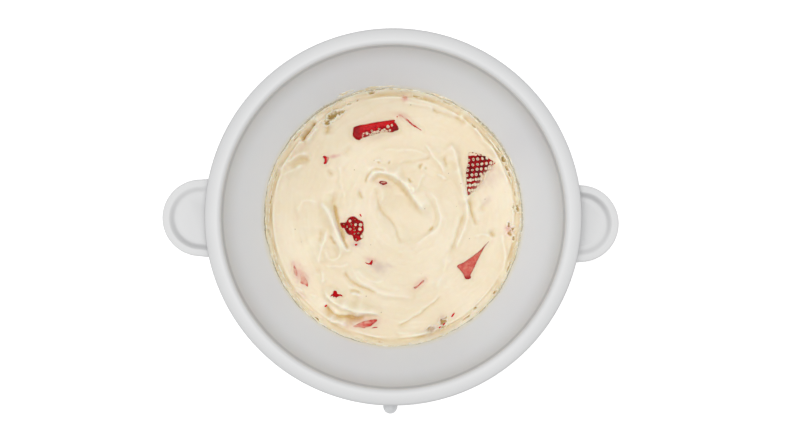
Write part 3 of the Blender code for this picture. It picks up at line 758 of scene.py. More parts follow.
# %% Strokes of the paddle, in millimetres
STROKES = (
    # height, left flank, right flank, then the points of the crest, which are measured places
    # rounded to half a millimetre
    # dark line round the tip of the hook
    (-1.2, 0.9, 0.9, [(-17.5, 21.0), (-16.5, 25.0), (-13.5, 29.0), (-9.5, 30.0), (-4.5, 29.0)]),
    # hook ridge, its lit outer side
    (2.6, 6.0, 1.5, [(-16.0, 21.5), (-15.0, 24.5), (-12.0, 27.0), (-8.0, 28.0), (-3.0, 26.5),
                     (1.5, 24.5), (7.0, 20.5), (12.0, 13.5), (17.5, 6.5), (22.0, 1.5)]),
    # groove inside the hook
    (-0.7, 1.5, 1.1, [(-13.5, 21.0), (-11.5, 23.5), (-8.0, 25.0), (-4.5, 24.0), (-1.0, 21.5),
                      (4.0, 18.5), (9.0, 12.0)]),
    # inner bow of the swirl
    (1.0, 4.0, 1.2, [(22.0, 18.0), (25.5, 13.0), (28.0, 6.5), (29.0, 1.5), (29.5, -1.5), (27.0, -6.5),
                     (22.5, -11.0), (17.0, -15.0), (11.5, -17.0)]),
    # groove along that bow
    (-0.4, 1.2, 1.2, [(19.5, 17.0), (23.0, 12.0), (25.0, 6.5), (26.0, 1.5), (26.0, -1.5), (23.5, -6.0),
                      (20.5, -9.5)]),
    # cut mark on that bow
    (-1.1, 1.0, 1.0, [(22.0, -8.5), (24.0, -6.0), (25.5, -4.0)]),
    # basin, left brim
    (-1.0, 2.4, 1.2, [(-10.5, 19.5), (-10.5, 14.5), (-8.5, 8.0), (-5.5, 2.0), (-2.5, 0.0), (1.0, -7.0),
                      (3.5, -12.5), (6.5, -16.5)]),
    # first bow right of the hook
    (1.2, 3.0, 1.2, [(18.5, 48.0), (21.5, 43.0), (24.5, 38.5), (28.5, 35.5), (31.0, 31.0), (32.5, 25.5)]),
    # groove outside it
    (-1.2, 1.3, 1.6, [(30.5, 40.0), (32.5, 36.5), (33.5, 31.0)]),
    # thin line above the swirl
    (-0.6, 1.0, 1.2, [(2.5, 33.0), (9.0, 34.5), (16.5, 36.0), (24.0, 38.0)]),
    # thin line higher up
    (0.5, 1.4, 1.8, [(-7.5, 42.5), (1.5, 42.0), (8.5, 42.5), (17.0, 41.0), (22.5, 38.5)]),
    # long bow, its upper half
    (1.8, 1.6, 3.4, [(33.0, 47.5), (37.5, 41.0), (40.0, 35.0), (41.5, 26.5), (44.0, 18.5),
                     (45.5, 12.0), (45.5, 6.5)]),
    # long bow, cut on the left of its lower half
    (-1.3, 4.5, 1.2, [(45.0, 4.5), (43.5, -1.0), (41.5, -7.0), (39.5, -13.5), (37.0, -19.0),
                      (34.5, -24.5)]),
    # broad soft band below the cut
    (0.9, 3.2, 2.6, [(35.5, -21.5), (33.5, -27.5), (32.0, -33.5), (30.0, -39.5), (26.0, -45.0)]),
    # ridge beside the cut
    (1.2, 1.8, 1.8, [(46.0, 11.0), (46.5, 5.0), (46.5, -1.0), (45.0, -6.5), (42.0, -13.0), (39.0, -19.5)]),
    # groove below the wedge
    (-1.7, 2.2, 1.3, [(46.5, 13.0), (48.0, 8.5), (49.0, 3.5), (50.5, -1.0), (52.5, -5.5)]),
    # small tick
    (0.9, 1.2, 1.2, [(27.0, 27.0), (30.5, 27.0), (33.0, 23.0)]),
    # crest left of the chunk
    (2.8, 2.0, 3.4, [(-47.5, 8.5), (-42.0, 5.5), (-39.0, 0.5), (-36.0, -6.0), (-33.0, -12.0),
                     (-30.5, -18.0), (-25.5, -22.5)]),
    # soft trough beside it
    (-2.2, 4.5, 3.0, [(-39.5, 16.0), (-38.0, 11.0), (-36.5, 5.0), (-35.5, 0.0)]),
    # its cut lower end
    (-2.4, 1.5, 1.0, [(-37.0, 8.0), (-35.5, 2.5), (-33.5, -5.5), (-31.5, -12.0), (-29.0, -18.0),
                      (-27.5, -21.0)]),
    # loop, outer side
    (0.6, 2.0, 2.0, [(-59.5, 0.0), (-59.5, 6.0), (-56.0, 9.0), (-51.0, 9.0), (-46.0, 8.0)]),
    # loop, left leg
    (1.2, 2.0, 2.6, [(-42.5, -6.5), (-41.5, -12.0), (-44.0, -19.0), (-45.5, -25.5), (-46.0, -31.5)]),
    # loop, drop shape
    (0.7, 1.3, 1.5, [(-41.5, -20.0), (-40.5, -26.0), (-37.0, -27.5), (-33.0, -25.5), (-32.5, -20.5),
                     (-35.5, -14.5), (-39.5, -10.0)]),
    # groove in the drop shape
    (-1.3, 1.3, 1.3, [(-39.5, -10.5), (-37.5, -14.5), (-35.5, -19.0)]),
    # fold left of the loop
    (-1.2, 2.4, 2.4, [(-45.5, -7.0), (-45.0, -12.0), (-46.5, -18.0)]),
    # broad step down to the left
    (-1.0, 9.0, 3.0, [(-62.0, 5.0), (-59.5, -4.0), (-57.0, -14.0), (-52.5, -23.0), (-47.5, -31.5),
                      (-42.5, -37.0)]),
    # left fold, upper lip
    (1.7, 2.2, 1.5, [(-72.5, 25.0), (-68.0, 31.5), (-63.0, 35.5), (-58.0, 39.0), (-52.0, 38.5)]),
    # left fold, its hollow
    (-1.7, 2.8, 2.8, [(-65.5, 29.5), (-60.5, 34.0), (-56.0, 35.5), (-51.0, 35.0)]),
    # left fold, lower lip
    (1.1, 1.6, 2.6, [(-71.5, 22.0), (-66.5, 27.0), (-61.0, 30.5), (-54.5, 31.5)]),
    # long fold at the lower left
    (3.0, 5.0, 1.6, [(-42.0, -42.5), (-41.0, -47.0), (-37.0, -53.0), (-30.5, -56.0), (-22.5, -58.5),
                     (-14.5, -59.5), (-8.0, -61.0), (-6.0, -63.5)]),
    # cut below it
    (-4.2, 1.5, 3.0, [(-42.0, -54.0), (-39.5, -58.0), (-35.0, -61.5), (-29.0, -63.0), (-22.5, -63.0),
                      (-16.0, -62.5)]),
    # second lip below
    (2.3, 2.6, 1.8, [(-41.0, -61.5), (-35.0, -64.5), (-30.5, -66.5), (-27.5, -70.0)]),
    # bottom bow
    (1.0, 4.6, 1.6, [(-25.5, -30.0), (-23.5, -35.5), (-19.0, -41.0), (-11.0, -45.5), (-2.5, -48.5),
                     (7.0, -49.5), (16.5, -50.5)]),
    # line in the bottom bow
    (-1.4, 1.1, 1.6, [(-30.0, -34.0), (-27.0, -39.0), (-22.5, -42.0), (-16.0, -45.0), (-9.0, -47.0)]),
    # second line
    (-1.1, 1.0, 1.3, [(-27.5, -45.0), (-23.0, -46.0), (-18.5, -48.0)]),
    # bright lip below
    (1.1, 1.2, 1.5, [(-26.5, -47.0), (-23.0, -48.0), (-18.5, -50.0)]),
    # bow round the nub
    (0.5, 2.0, 1.4, [(-22.5, -31.5), (-19.5, -35.5), (-14.5, -39.5), (-9.0, -41.0), (-3.0, -38.5)]),
    # lower right line
    (-0.7, 0.9, 1.8, [(3.0, -68.0), (9.5, -65.0), (16.5, -61.5), (22.0, -57.5), (27.0, -53.0),
                      (31.0, -48.5)]),
    # lip along it
    (0.7, 2.4, 0.9, [(2.5, -67.0), (9.0, -64.0), (16.0, -60.5), (21.5, -56.5), (26.5, -52.0),
                     (31.0, -47.0)]),
    # top step
    (0.9, 3.5, 1.3, [(3.0, 70.5), (11.5, 71.5), (18.5, 70.0), (25.0, 68.0), (31.0, 65.5), (40.5, 62.0)]),
    # dark line of the top step
    (-1.5, 1.4, 1.4, [(22.5, 68.0), (29.0, 66.0), (35.5, 63.5), (41.0, 61.5), (45.5, 58.5)]),
    # thin rim bow at the right
    (1.4, 1.6, 1.6, [(39.5, 65.0), (46.0, 60.0), (52.5, 53.0), (58.5, 46.0), (63.0, 40.0),
                     (67.0, 30.0), (71.5, 21.0)]),
    # its groove
    (-1.2, 1.2, 1.2, [(42.0, 64.0), (46.0, 60.5), (51.0, 55.5)]),
    # ring line far right
    (0.9, 1.8, 1.4, [(67.5, -7.5), (69.5, -17.0), (70.5, -25.5), (69.0, -33.5), (66.5, -40.5)]),
    # curl by the tip of the slice
    (0.9, 1.6, 2.0, [(50.0, -12.5), (53.5, -10.5), (57.5, -10.0), (61.0, -11.0), (62.0, -14.0)]),
    # its hollow
    (-1.3, 2.4, 2.2, [(58.5, -7.5), (62.5, -9.0), (64.0, -12.5)]),
    # fine flow line
    (0.4, 1.4, 1.6, [(-34.5, 32.0), (-33.5, 24.5), (-32.0, 17.0), (-29.5, 11.0)]),
    # fine flow line
    (-0.4, 1.4, 1.8, [(-36.0, 30.5), (-35.0, 23.5), (-33.0, 15.0)]),
    # short flow line
    (-0.8, 1.2, 1.2, [(-41.0, 31.0), (-40.0, 27.5), (-38.0, 24.5)]),
    # short flow line
    (-1.0, 1.0, 1.4, [(-22.0, 18.5), (-21.0, 14.0), (-19.0, 10.5)]),
    # soft fold left of the middle
    (-0.8, 2.2, 2.6, [(-32.5, 37.0), (-30.0, 41.0), (-27.0, 45.5)]),
    # curl mark
    (-1.5, 1.4, 1.0, [(15.5, 29.0), (16.5, 32.5), (19.0, 35.0)]),
    # curl mark
    (-0.9, 0.9, 0.9, [(19.5, 32.0), (20.5, 30.0)]),
    # curl mark
    (1.0, 0.9, 0.9, [(-12.5, 33.5), (-11.0, 35.0), (-8.5, 36.0), (-7.0, 34.5)]),
    # curl mark
    (-0.9, 0.8, 0.8, [(-10.5, 33.5), (-9.0, 34.5), (-7.5, 33.5)]),
    # curl mark
    (-0.9, 0.8, 0.8, [(-3.0, 33.0), (-2.5, 35.0), (-1.0, 35.0)]),
    # cut mark
    (-1.6, 0.9, 0.9, [(9.0, 25.5), (10.0, 23.0), (11.0, 21.0)]),
    # thin fold beside it
    (0.7, 1.0, 1.4, [(10.5, 21.5), (12.5, 18.0), (13.5, 14.0)]),
    # flow line up from the curl
    (0.5, 1.6, 1.2, [(14.0, 14.0), (15.0, 20.0), (17.0, 25.0), (20.0, 28.5)]),
    # low fold at the bottom
    (0.8, 1.8, 1.8, [(2.0, -72.5), (9.5, -72.0), (16.5, -73.0), (24.5, -71.5)]),
    # low fold at the bottom
    (-0.9, 1.6, 1.6, [(-22.5, -78.5), (-14.5, -78.0), (-7.0, -79.5)]),
    # lower left flow line
    (0.9, 1.2, 1.2, [(-62.5, -45.5), (-57.5, -47.5), (-53.0, -51.5)]),
    # lower left flow line
    (0.7, 1.0, 1.0, [(-61.5, -43.0), (-56.5, -46.0), (-54.0, -47.5)]),
    # lower left flow line
    (0.7, 1.2, 1.4, [(-52.0, -48.5), (-48.0, -49.5), (-45.0, -51.0)]),
    # flow line over the fruit
    (0.7, 1.4, 1.8, [(-43.0, -31.5), (-37.5, -31.0), (-31.5, -31.5), (-26.5, -30.0)]),
    # edge of the middle fold
    (0.9, 1.8, 1.4, [(-45.5, -32.0), (-43.5, -37.0), (-42.0, -42.5)]),
    # right hollow
    (-0.8, 3.0, 3.0, [(54.0, 9.0), (56.0, 6.5), (57.5, 4.0)]),
    # upper left crevice
    (-4.4, 0.9, 1.7, [(-48.5, 60.0), (-52.0, 55.0), (-55.0, 50.5), (-57.5, 45.5)]),
    # lip beside it
    (2.0, 1.6, 2.2, [(-46.5, 57.5), (-49.5, 53.0), (-52.5, 48.5), (-55.5, 44.0)]),
    # upper left soft hollow
    (-2.6, 2.6, 2.6, [(-42.0, 58.0), (-42.0, 53.0), (-42.0, 49.0)]),
)
STROKE_FADE = 8.0        # a stroke dies out over this length at each end
print(len(STROKES), "strokes")

# %% The cream's height before the fruit goes in
SWIRL = (9.3, 1.4)       # most folds run round this point
BASIN_LONG, BASIN_SHORT, BASIN_TURN, BASIN_DEPTH = 22.5, 15.0, math.radians(-45.0), 3.0
HUMPS = (
    # place, reach, height: the broad rises and hollows of the surface
    ((-39.0, -14.0), 8.0, 1.2),
    ((-16.0, 62.0), 16.0, 1.0),
    ((-6.0, -12.0), 10.0, 1.0),
    ((58.0, 44.0), 9.0, 1.0),
    ((48.0, -40.0), 18.0, 0.6),
    ((-56.0, 18.0), 14.0, -1.0),
    ((20.0, -60.0), 14.0, -0.8),
    ((2.0, 2.0), 10.0, -0.8),
)


def flowing(points, rounds=3):
    """A smooth curve through the points with its last unevenness worn off."""
    curve = smooth_curve(points, 8)
    for _ in range(rounds * 6):
        curve[1:-1] = (curve[:-2] + 2.0 * curve[1:-1] + curve[2:]) / 4.0
    return curve


def stroke_height(x, y, height, left, right, points):
    curve = flowing(points)
    reach = 3.0 * max(left, right)
    near = ((x > curve[:, 0].min() - reach) & (x < curve[:, 0].max() + reach)
            & (y > curve[:, 1].min() - reach) & (y < curve[:, 1].max() + reach))
    made = np.zeros(x.shape)
    across, along, length = across_curve(x[near], y[near], curve)
    swell = 1.0 + 0.35 * patchy(along / 5.0, np.full(along.shape, points[0][0]), 17)
    flank = np.where(across > 0.0, left, right) * swell
    fade_length = min(STROKE_FADE, 1.5 + 1.3 * max(left, right), 0.45 * length)
    fade = smooth_step(along / fade_length) * smooth_step((length - along) / fade_length)
    made[near] = 1.15 * height * fade * swell * np.exp(-np.abs(across / flank) ** 1.6)
    return made


def cream_height(x, y):
    """Height in millimetres at (x, y), also in millimetres."""
    warp_x = x + 0.7 * patchy(x / 7.0, y / 7.0, 11) + 0.12 * patchy(x / 2.2, y / 2.2, 12)
    warp_y = y + 0.7 * patchy(x / 7.0, y / 7.0, 13) + 0.12 * patchy(x / 2.2, y / 2.2, 14)
    height = np.full(x.shape, CREAM_LEVEL)
    for stroke in STROKES:
        height += stroke_height(warp_x, warp_y, *stroke)
    for (hump_x, hump_y), reach, rise in HUMPS:
        height += rise * np.exp(-((x - hump_x) ** 2 + (y - hump_y) ** 2) / reach ** 2)
    away_x, away_y = warp_x - SWIRL[0], warp_y - SWIRL[1]
    long_way = away_x * math.cos(BASIN_TURN) + away_y * math.sin(BASIN_TURN)
    short_way = away_y * math.cos(BASIN_TURN) - away_x * math.sin(BASIN_TURN)
    height -= BASIN_DEPTH * smooth_step(1.3 - np.hypot(long_way / BASIN_LONG, short_way / BASIN_SHORT))
    radius = np.hypot(away_x, away_y)
    bearing = np.arctan2(away_y, away_x)
    spiral = bearing / (2.0 * math.pi) + radius / 190.0
    flow = patchy(spiral * 16.0, radius / 3.2, 21, 16) + 0.6 * patchy(spiral * 32.0, radius / 1.6, 22, 32)
    height += 0.16 * flow * smooth_step((radius - 7.0) / 12.0)
    height += 0.10 * patchy(x / 2.4, y / 2.4, 23) + 0.30 * patchy(x / 13.0, y / 13.0, 24)
    from_axis = np.arctan2(y, x)
    waves = 0.6 * np.sin(3.0 * from_axis + 0.6) + 0.4 * np.sin(7.0 * from_axis)
    return height + waves * smooth_step(np.hypot(x, y) / 60.0)


# %% [markdown]
# ## Cutting the strawberry pieces
#
# Each piece is a knife-cut bit of a strawberry, sunk in the cream. Its outline is a list of
# measured points about the middle of its CAD node. A plain extrusion would look like a
# biscuit, so the top is a fine triangle mesh from a constrained Delaunay fill, on which
# height is worked out at every vertex: a rounded edge, a crown, and the dimples that hold
# the seeds.

# %% Outlines, in millimetres from the middle of each CAD node
FRUIT = {
    "strawberry_bar": {
        "outline": [(-13.7, 1.2), (-10.0, 2.5), (-6.1, 3.2), (0.3, 4.6), (6.0, 5.5), (10.8, 6.3),
                    (11.9, 5.9), (11.6, 4.6), (12.9, 3.5), (14.2, 0.2), (11.5, -1.0), (10.3, -1.6),
                    (4.2, -1.7), (0.4, -2.7), (-2.8, -3.7), (-5.6, -4.7), (-8.8, -5.9),
                    (-10.4, -7.0), (-12.9, -6.1), (-14.5, -3.9), (-14.3, -1.1)],
        "proud": 2.6, "round": 1.3, "bury": 8.0,
    },
    "strawberry_sliver": {
        "outline": [(-8.1, 3.6), (-7.0, 5.1), (-5.4, 5.2), (-3.2, 3.9), (-0.6, 2.1), (1.9, -0.3),
                    (4.8, -2.2), (7.9, -4.4), (7.5, -5.1), (4.2, -3.3), (1.2, -1.5), (-1.5, 0.9),
                    (-4.0, 2.9), (-6.2, 4.1)],
        "proud": 0.55, "round": 0.5, "bury": 4.0,
    },
    "strawberry_wedge": {
        "outline": [(-7.8, 13.2), (-2.5, 13.0), (1.6, 11.6), (5.9, 9.1), (8.8, 7.2), (7.2, 4.8),
                    (5.5, 2.4), (3.2, 0.9), (1.6, -3.4), (-1.0, -7.3), (-3.6, -10.0), (-5.7, -12.4),
                    (-8.0, -13.4), (-8.9, -6.0), (-9.3, 1.2), (-8.1, 7.2)],
        "proud": 1.7, "round": 1.6, "bury": 9.0,
    },
    "strawberry_chunk": {
        "outline": [(-7.8, 4.5), (-4.3, 5.0), (-2.5, 7.8), (0.9, 8.8), (3.7, 6.9), (6.5, 5.5),
                    (7.1, 2.7), (7.2, 0.0), (6.0, -2.5), (6.4, -5.0), (4.7, -6.1), (2.7, -7.1), (0.9, -5.9),
                    (-0.1, -3.3), (-2.3, -2.8), (-4.0, -1.2), (-5.2, 1.2), (-6.6, 1.3)],
        "proud": 2.4, "round": 1.7, "bury": 9.0,
    },
    "strawberry_slice": {
        "outline": [(-9.6, -4.1), (-4.7, -1.4), (1.2, 2.9), (4.8, 5.9), (7.3, 8.7), (9.9, 11.4),
                    (10.3, 11.1), (8.3, 8.9), (6.4, 5.7), (4.6, 2.3), (2.9, -1.3), (1.6, -4.3),
                    (0.2, -7.3), (-1.1, -9.9), (-0.7, -11.1), (-1.7, -12.3), (-4.3, -12.2),
                    (-5.7, -9.2), (-7.8, -6.6)],
        "proud": 1.3, "round": 0.5, "bury": 5.5,
    },
    "strawberry_corner": {
        "outline": [(-1.9, 1.2), (-0.6, 1.9), (1.0, 1.1), (2.4, 0.8), (2.0, -0.9), (1.4, -2.0),
                    (0.6, -3.3), (-0.7, -3.7), (-1.3, -2.9), (-0.7, -1.4), (-1.0, 0.0)],
        "proud": 0.9, "round": 0.6, "bury": 5.0,
    },
    "strawberry_tucked": {
        "outline": [(-2.5, 1.0), (-1.1, 1.6), (0.6, 1.3), (2.5, 0.7), (2.6, -0.3), (1.2, -1.0),
                    (0.0, -1.3), (-1.3, -0.7), (-2.7, -0.1)],
        "proud": 0.9, "round": 0.6, "bury": 5.0,
    },
    "strawberry_stick": {
        "outline": [(-3.8, -2.4), (-1.9, -1.3), (-0.4, -0.3), (1.1, 1.5), (2.2, 2.4), (3.4, 2.3),
                    (2.8, 1.1), (1.1, -0.3), (-0.5, -1.9), (-1.7, -2.9), (-2.6, -3.4)],
        "proud": 0.8, "round": 0.6, "bury": 4.5,
    },
    "strawberry_strip": {
        "outline": [(-0.6, 2.8), (0.4, 1.6), (1.3, -0.1), (2.0, -3.0), (2.0, -4.8), (1.0, -4.5),
                    (-0.3, -2.8), (-0.7, -0.1)],
        "proud": 0.45, "round": 0.5, "bury": 4.0,
    },
    "strawberry_flap": {
        "outline": [(-3.2, 4.8), (-1.5, 5.1), (0.1, 2.9), (1.7, 0.7), (2.0, -2.1), (1.5, -3.0),
                    (-0.1, -1.9), (-2.1, -1.3), (-3.2, -0.3), (-2.7, 1.5), (-3.2, 3.6)],
        "proud": 0.5, "round": 0.6, "bury": 4.0,
    },
    "strawberry_scrap": {
        "outline": [(-2.0, 1.8), (-0.9, 2.5), (0.3, 1.9), (1.0, 0.3), (3.0, 0.0), (4.6, -1.7),
                    (2.3, -1.3), (0.8, -1.8), (0.1, -2.6), (-0.8, -1.7), (-1.8, -2.1), (-2.4, -1.1),
                    (-3.7, -1.9), (-3.5, -0.5), (-2.2, 0.5)],
        "proud": 0.9, "round": 0.6, "bury": 5.0,
    },
    "strawberry_fin": {
        "outline": [(-7.4, -0.5), (-4.0, 1.4), (-0.8, 2.8), (2.4, 3.5), (4.9, 4.1), (7.4, 4.4),
                    (8.0, 3.2), (5.6, 1.2), (4.1, -0.2), (1.1, -0.9), (0.3, -1.7), (-2.7, -1.1),
                    (-5.9, -1.1)],
        "proud": 0.9, "round": 0.7, "bury": 5.0,
    },
    "strawberry_nub": {
        "outline": [(-2.4, 0.2), (-0.5, -0.4), (0.5, -0.3), (1.9, 1.5), (2.6, 1.2), (2.5, -0.9),
                    (1.3, -1.7), (-0.5, -1.6), (-2.0, -0.7)],
        "proud": 0.8, "round": 0.6, "bury": 4.0,
    },
}


def node_middle(node):
    low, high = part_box(node)
    return np.array([(low.x + high.x) / 2, (low.y + high.y) / 2]) / MM


for fruit_name, fruit in FRUIT.items():
    fruit["middle"] = node_middle(fruit_name)
    fruit["loop"] = smooth_curve(np.array(fruit["outline"]) + fruit["middle"], 4, closed=True)
    heights = cream_height(fruit["loop"][:, 0], fruit["loop"][:, 1])
    terms = np.column_stack([fruit["loop"], np.ones(len(heights))])
    fruit["plane"] = np.linalg.lstsq(terms, heights, rcond=None)[0]   # the cream's slope just there
    print(fruit_name, "lies at", np.round(fruit["plane"] @ [*fruit["middle"], 1.0], 1), "mm")


def plane_height(fruit, x, y):
    return fruit["plane"][0] * x + fruit["plane"][1] * y + fruit["plane"][2]


def outline_distance(fruit, x, y):
    """Distance from the outline, negative inside."""
    loop = fruit["loop"]
    distance = np.abs(across_curve(x, y, np.vstack([loop, loop[:1]]))[0])
    return np.where(inside_outline(x, y, loop), -distance, distance)


# %% [markdown]
# ## The ice cream's grid
#
# A round grid from rings would crowd its points in the middle and starve the edge, so a
# square grid is squeezed into the circle instead, which keeps its cells near half a
# millimetre everywhere. Round each strawberry piece the surface eases to the piece's own
# level, swells in a small bead against it, and drops into a pocket beneath it.

# %% Grid of the top surface
GRID = 300
EDGE_OVERLAP = 0.25      # the cream's edge reaches this far into the liner, so no gap shows
side_steps = np.linspace(-1.0, 1.0, GRID + 1)
square_x, square_y = np.meshgrid(side_steps, side_steps, indexing="ij")
grid_reach = float(wall_radius(CREAM_LEVEL * MM)) / MM
grid_x = grid_reach * square_x * np.sqrt(1.0 - square_y ** 2 / 2.0)
grid_y = grid_reach * square_y * np.sqrt(1.0 - square_x ** 2 / 2.0)
grid_z = cream_height(grid_x, grid_y)
print("grid cell", round(2.0 * grid_reach / GRID, 2), "mm")

# %% Ragged edge against the wall
EDGE_PITS = (
    # bearing in degrees, distance in from the wall, length round, width across, depth
    (121.2, 6.1, 4.6, 3.2, 3.4), (118.6, 6.0, 3.4, 2.4, 2.6), (116.6, 6.8, 2.6, 1.8, 2.0),
    (123.2, 6.8, 3.0, 2.4, 2.4), (125.4, 7.6, 3.2, 2.4, 2.8), (112.0, 4.2, 3.0, 0.9, 1.2),
    (107.8, 3.8, 1.6, 0.9, 1.2), (100.5, 1.0, 4.0, 1.0, 2.0), (85.0, 4.3, 2.4, 1.4, 1.0),
    (80.0, 2.6, 4.6, 0.9, 1.2), (66.0, 1.2, 6.0, 0.8, 1.6), (49.0, 3.6, 5.0, 0.8, 1.8),
    (41.0, 2.4, 4.0, 0.8, 1.0), (33.5, 1.8, 5.0, 1.0, 1.8), (28.6, 2.0, 2.8, 1.8, 2.6),
    (24.5, 3.0, 2.4, 1.2, 1.6), (21.0, 2.8, 3.6, 1.0, 1.6), (12.0, 2.4, 4.0, 0.8, 1.2),
    (5.2, 4.6, 4.0, 1.0, 1.8), (5.0, 2.0, 3.0, 1.2, 2.0), (-2.8, 7.4, 2.6, 1.8, 2.6),
    (-4.6, 4.6, 2.2, 1.6, 2.2), (-7.1, 6.1, 3.4, 2.6, 1.8), (-9.0, 3.4, 2.6, 1.4, 1.8),
    (-14.1, 1.0, 3.4, 0.8, 1.2), (-21.4, 1.2, 6.0, 0.8, 1.2), (-35.6, 1.2, 3.6, 1.0, 1.6),
    (-47.4, 3.1, 3.2, 1.2, 1.6), (-53.3, 1.9, 6.0, 0.9, 1.4), (-63.7, 7.2, 3.6, 2.2, 2.4),
    (-61.8, 8.4, 2.2, 1.4, 1.6), (-64.6, 4.6, 4.6, 1.6, 2.2), (-70.2, 6.1, 4.6, 2.4, 1.4),
    (139.5, 1.8, 7.0, 0.7, 0.9), (161.1, 2.0, 6.0, 0.8, 1.2), (173.2, 2.4, 5.4, 0.9, 1.3),
    (188.4, 1.8, 5.0, 0.7, 1.0), (201.0, 1.4, 6.0, 0.7, 0.9), (234.1, 1.0, 3.4, 0.9, 1.6),
    (264.3, 1.6, 5.0, 0.8, 0.9), (253.8, 1.2, 5.0, 0.7, 0.8),
)
from_axis = np.arctan2(grid_y, grid_x)
radius = np.hypot(grid_x, grid_y)
edge_depth = grid_reach - radius
round_noise = patchy(from_axis / (2 * math.pi) * 48.0, edge_depth / 2.5, 31, 48)
fine_round_noise = patchy(from_axis / (2 * math.pi) * 160.0, edge_depth / 1.0, 32, 160)
crust = np.exp(-(edge_depth / 1.5) ** 2)
grid_z += crust * (1.1 + 0.7 * round_noise + 0.20 * fine_round_noise)
grid_z -= np.exp(-((edge_depth - 3.0) / 1.4) ** 2) * (0.7 + 0.5 * round_noise)
grid_z += 0.5 * np.exp(-((edge_depth - 4.8) / 0.9) ** 2) * (1.0 + round_noise)
grid_z += 0.15 * fine_round_noise * np.exp(-(edge_depth / 5.0) ** 2)
ragged_x = 0.7 * patchy(grid_x / 1.7, grid_y / 1.7, 33) + 0.4 * patchy(grid_x / 0.8, grid_y / 0.8, 36)
ragged_y = 0.7 * patchy(grid_x / 1.7, grid_y / 1.7, 34) + 0.4 * patchy(grid_x / 0.8, grid_y / 0.8, 37)
# pit: how deep each edge pit is, for the finish's painted shade
pit = np.zeros(grid_x.shape)
for bearing, inward, length, width, depth in EDGE_PITS:
    off = (np.degrees(from_axis) - bearing + 180.0) % 360.0 - 180.0
    arc_off = np.radians(off) * grid_reach / (length / 2) + ragged_x
    depth_off = (edge_depth - inward) / (width / 2) + ragged_y
    sunk_share = np.exp(-(arc_off ** 2 + depth_off ** 2) ** 1.3)
    grid_z -= depth * sunk_share
    pit = np.maximum(pit, min(depth / 3.0, 1.0) * sunk_share)
    grid_z += 0.35 * depth * np.exp(-((np.hypot(arc_off, depth_off) - 1.6) / 0.45) ** 2)

# %% Seats for the fruit
BEAD = 0.45              # height of the cream's swell against a piece
plain_z = grid_z.copy()
for fruit in FRUIT.values():
    margin = 9.0
    low, high = fruit["loop"].min(axis=0) - margin, fruit["loop"].max(axis=0) + margin
    near = (grid_x > low[0]) & (grid_x < high[0]) & (grid_y > low[1]) & (grid_y < high[1])
    x, y = grid_x[near], grid_y[near]
    distance = outline_distance(fruit, x, y)
    ease = np.exp(-(np.maximum(distance, 0.0) / 2.2) ** 2)
    level = grid_z[near] * (1 - ease) + plane_height(fruit, x, y) * ease
    bead = BEAD * (1.0 + 0.5 * patchy(x / 2.5, y / 2.5, 41))
    level += bead * np.exp(-((np.maximum(distance, 0.0) - 0.5) / 0.9) ** 2)
    seat = plane_height(fruit, x, y) - fruit["bury"] * 0.5
    grid_z[near] = np.where(distance < -0.55, seat, level)


# %% How hollow each spot is, for the finish's painted shade and painted highlight
def blurred(values, times):
    for _ in range(times):
        padded = np.pad(values, 1, mode="edge")
        values = (padded[:-2, 1:-1] + padded[2:, 1:-1] + padded[1:-1, :-2] + padded[1:-1, 2:]) / 4.0
    return values


fine_z, broad_z = blurred(plain_z, 5), blurred(plain_z, 30)
fine_dip, broad_dip = fine_z - plain_z, broad_z - plain_z
# hollows get a painted ochre shade
hollow = np.clip(fine_dip / 0.45, 0.0, 1.0) * 0.35 + np.clip(broad_dip / 1.6, 0.0, 1.0) * 0.75
# crests get a painted pale highlight
crest = np.clip(-fine_dip / 0.30, 0.0, 1.0) * 0.5 + np.clip(-broad_dip / 1.0, 0.0, 1.0) * 0.6
# painted highlight along the cream's edge at the wall
crest = np.maximum(crest, 0.9 * np.exp(-(edge_depth / 0.9) ** 2))
hollow, crest = np.clip(hollow, 0.0, 1.0), np.clip(crest, 0.0, 1.0)

